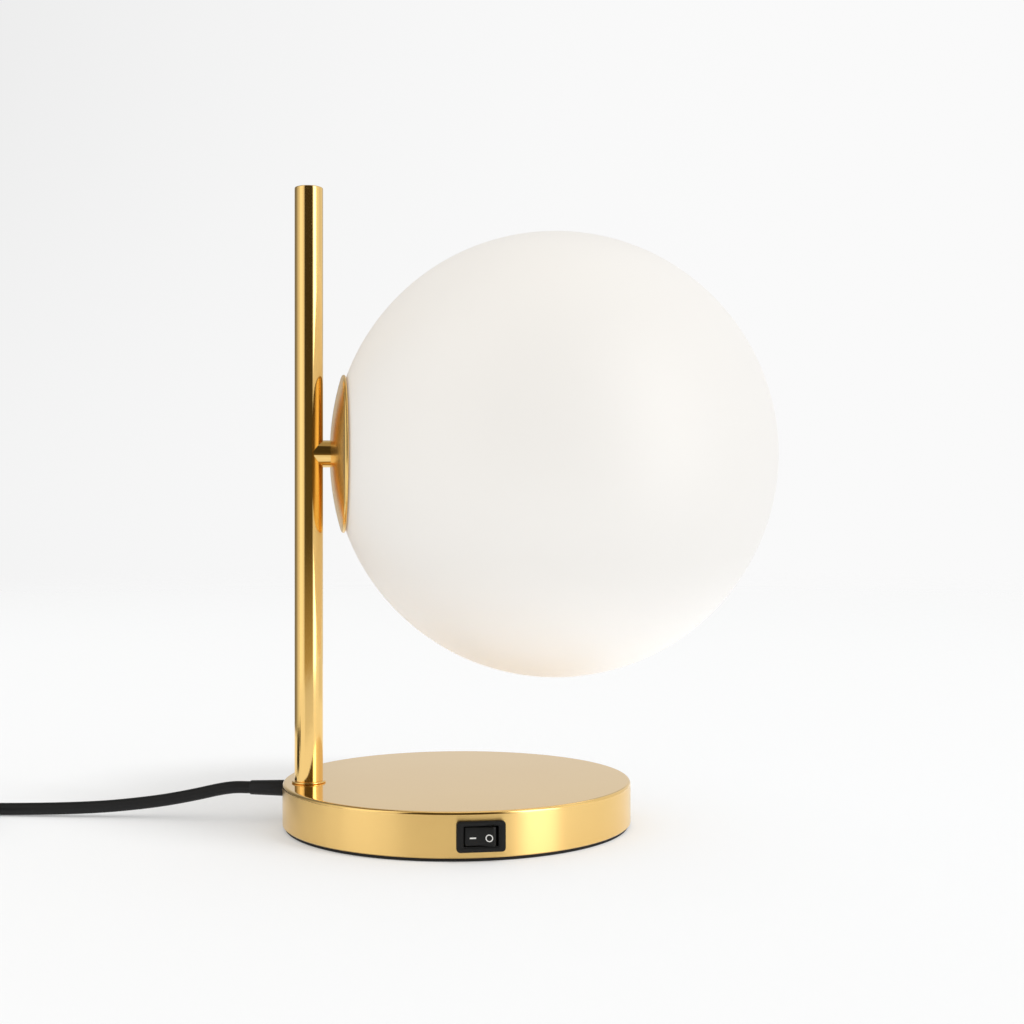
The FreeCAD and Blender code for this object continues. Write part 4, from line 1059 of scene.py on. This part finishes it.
def make_card(name, start, stop, shades, radius=0.62, high=2.4, soft=0.1, tint=(1, 1, 1), strength=1.0):
    """A curved card round the object, between two directions in degrees. It stands out of view and shows only
    in reflections, with its (height, shade) pairs from the foot up and with soft sides."""
    deselect()
    bpy.ops.mesh.primitive_plane_add(size=1)
    card = bpy.context.object
    card.name = name
    bpy.ops.object.mode_set(mode="EDIT")
    bpy.ops.mesh.subdivide(number_cuts=CARD_CUTS)
    bpy.ops.object.mode_set(mode="OBJECT")
    for corner in card.data.vertices:
        angle = math.radians(start + (stop - start) * (corner.co.x + 0.5))
        corner.co = (radius * math.cos(angle), radius * math.sin(angle), high * (corner.co.y + 0.5))
    finish = Finish(name, "ShaderNodeEmission", Strength=strength)
    spot = finish.node("ShaderNodeTexCoord", output="UV")
    across = finish.node("ShaderNodeSeparateXYZ", {}, {0: spot}, output="X")
    up = finish.node("ShaderNodeSeparateXYZ", {}, {0: spot}, output="Y")
    stops = [(height / high, tuple(shade * part for part in tint)) for height, shade in shades]
    finish.feed("Color", finish.node("ShaderNodeValToRGB", {"stops": stops}, {0: up}))
    covered = finish.between(across, 0, soft) * finish.between(1 - across, 0, soft)
    clear = finish.node("ShaderNodeBsdfTransparent")
    finish.show(finish.node("ShaderNodeMixShader", {}, {0: covered, 1: clear, 2: finish.surface}))
    card.data.materials.append(finish.material)
    only_reflected(card)


def make_ceiling():
    """A dim ceiling, for the upper sides of round metal."""
    deselect()
    bpy.ops.mesh.primitive_circle_add(vertices=48, radius=1.4, location=(0, 0, 1.6), fill_type="NGON")
    ceiling = bpy.context.object
    ceiling.name = "ceiling"
    finish = Finish("ceiling", "ShaderNodeEmission", Color=(0.36, 0.31, 0.22, 1))
    ceiling.data.materials.append(finish.material)
    only_reflected(ceiling)


table_top = make_floor()
make_background()
make_floor_light(table_top)
softbox("right_softbox", (1.27, -0.79, 0.75), (0, 0, 0.12), (0.6, 1.5), 0.7)
softbox("top_softbox", (0.3, 0.1, 1.8), (0.05, 0, 0.1), (1.6, 1.6), 2.5)
make_ceiling()
make_card("dark_room", 224, 299, [(0, 0.4), (0.11, 0.08), (0.3, 0.045), (2.4, 0.045)], tint=(1.15, 0.9, 0.42))
make_card("right_glow", 299, 329, [(0, 1), (2.4, 1)], high=0.8, soft=0.2, strength=3.4)
make_card("front_foot", 224, 299, [(0, 0.78), (0.035, 0.68)], radius=0.3, high=0.035)
make_card("left_glow", 188, 217, [(0, 1), (2.4, 1)], soft=0.2, strength=1.15)
make_card("back_left_card", 91, 194, [(0, 0.17), (2.4, 0.17)], radius=0.35, soft=0.5)
make_card("back_card", 52, 106, [(0, 0.73), (0.2, 0.73), (0.23, 0.5), (2.4, 0.5)], radius=0.7)
make_card("right_card", -16, 62, [(0, 0.78), (2.4, 0.72)], radius=0.4, soft=0.3)

# --- Cord ---

ENTRY_LENGTH = 28.7
COIL_RADIUS = 44.4
COIL_PITCH = 6.1
COIL_TURNS = 3.397
COIL_CLIMB = 0.5
POINTS_A_TURN = 16
TAIL_BEND = 13


def along_exit(distance):
    return CORD_WAY * distance + Vector((0, 0, CORD_HEIGHT))


def coil_points(end, heading):
    """The put-away turns: a spiral in on the table, a climb of one layer, and a spiral out on top."""
    first = end + heading * 2 * CORD_RADIUS
    lean = math.atan2(COIL_PITCH / (2 * math.pi), COIL_RADIUS)
    start_angle = math.atan2(heading.y, heading.x) - math.pi / 2 - lean
    centre = first - Vector((math.cos(start_angle), math.sin(start_angle), 0)) * COIL_RADIUS
    middle = COIL_TURNS + COIL_CLIMB / 2
    # A spline runs inside the corners of its control points, by this share of the radius.
    outside = 1 / math.cos(math.pi / POINTS_A_TURN)
    points = []
    steps = math.ceil(2 * middle * POINTS_A_TURN)
    for step in range(steps + 1):
        turn = 2 * middle * step / steps
        distance = (COIL_RADIUS - COIL_PITCH * (middle - abs(turn - middle))) * outside
        angle = start_angle + 2 * math.pi * turn
        climbed = min(max((turn - COIL_TURNS) / COIL_CLIMB, 0), 1)
        place = centre + Vector((math.cos(angle), math.sin(angle), 0)) * distance
        points.append(Vector((place.x, place.y, end.z + COIL_PITCH * climbed)))
    last_angle = start_angle + 4 * math.pi * middle
    last_way = Vector((-math.sin(last_angle), math.cos(last_angle), 0)) * COIL_RADIUS
    last_way += Vector((math.cos(last_angle), math.sin(last_angle), 0)) * COIL_PITCH / (2 * math.pi)
    return points, last_way.normalized()


def cord_points():
    """The cord's way from inside the base, down to the table, round the coil and into the plug."""
    points = [
        along_exit(BUSH_END - ENTRY_LENGTH),
        along_exit(BUSH_END),
        along_exit(BUSH_END + 10),
        Vector((-118.3, 30.0, 10.1)),
        Vector((-135.8, 33.7, 6.9)),
        Vector((-162.6, 39.4, 4.0)),
        Vector((-201.5, 48.2, CORD_RADIUS)),
        Vector((-240.0, 57.2, CORD_RADIUS)),
    ]
    heading = (points[-1] - points[-2]).normalized()
    turns, last_way = coil_points(points[-1], heading)
    points += turns
    coil_end = points[-1] + last_way * 2 * CORD_RADIUS
    tail = coil_end + last_way * TAIL_BEND
    into_plug = Vector((tail.x + 1, tail.y - TAIL_BEND, PLUG_THICKNESS / 2))
    return points + [coil_end, tail, into_plug, into_plug + Vector((0, -TAIL_BEND, 0))]


def make_cord():
    curve = bpy.data.curves.new("mains_cord", "CURVE")
    curve.dimensions = "3D"
    route = cord_points()
    spline = curve.splines.new("NURBS")
    spline.points.add(len(route) - 1)
    for point, place in zip(spline.points, route):
        point.co = (*(place * MM), 1)
        # The size is in the radius, with a depth of one, because the curve's box grows by the radius.
        point.radius = CORD_RADIUS * MM
    spline.order_u = 3
    spline.use_endpoint_u = True
    spline.resolution_u = 6
    curve.bevel_depth = 1
    curve.bevel_resolution = 6
    curve.use_fill_caps = True
    cord = bpy.data.objects.new("mains_cord", curve)
    bpy.context.collection.objects.link(cord)
    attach(cord, "lamp")
    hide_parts("cord_entry", "cord_run", "cord_coil", "cord_tail")
    curve.materials.append(finishes["cord_black"])
    return cord


cord = make_cord()
plug_pieces = make_plug(cord_points()[-1])
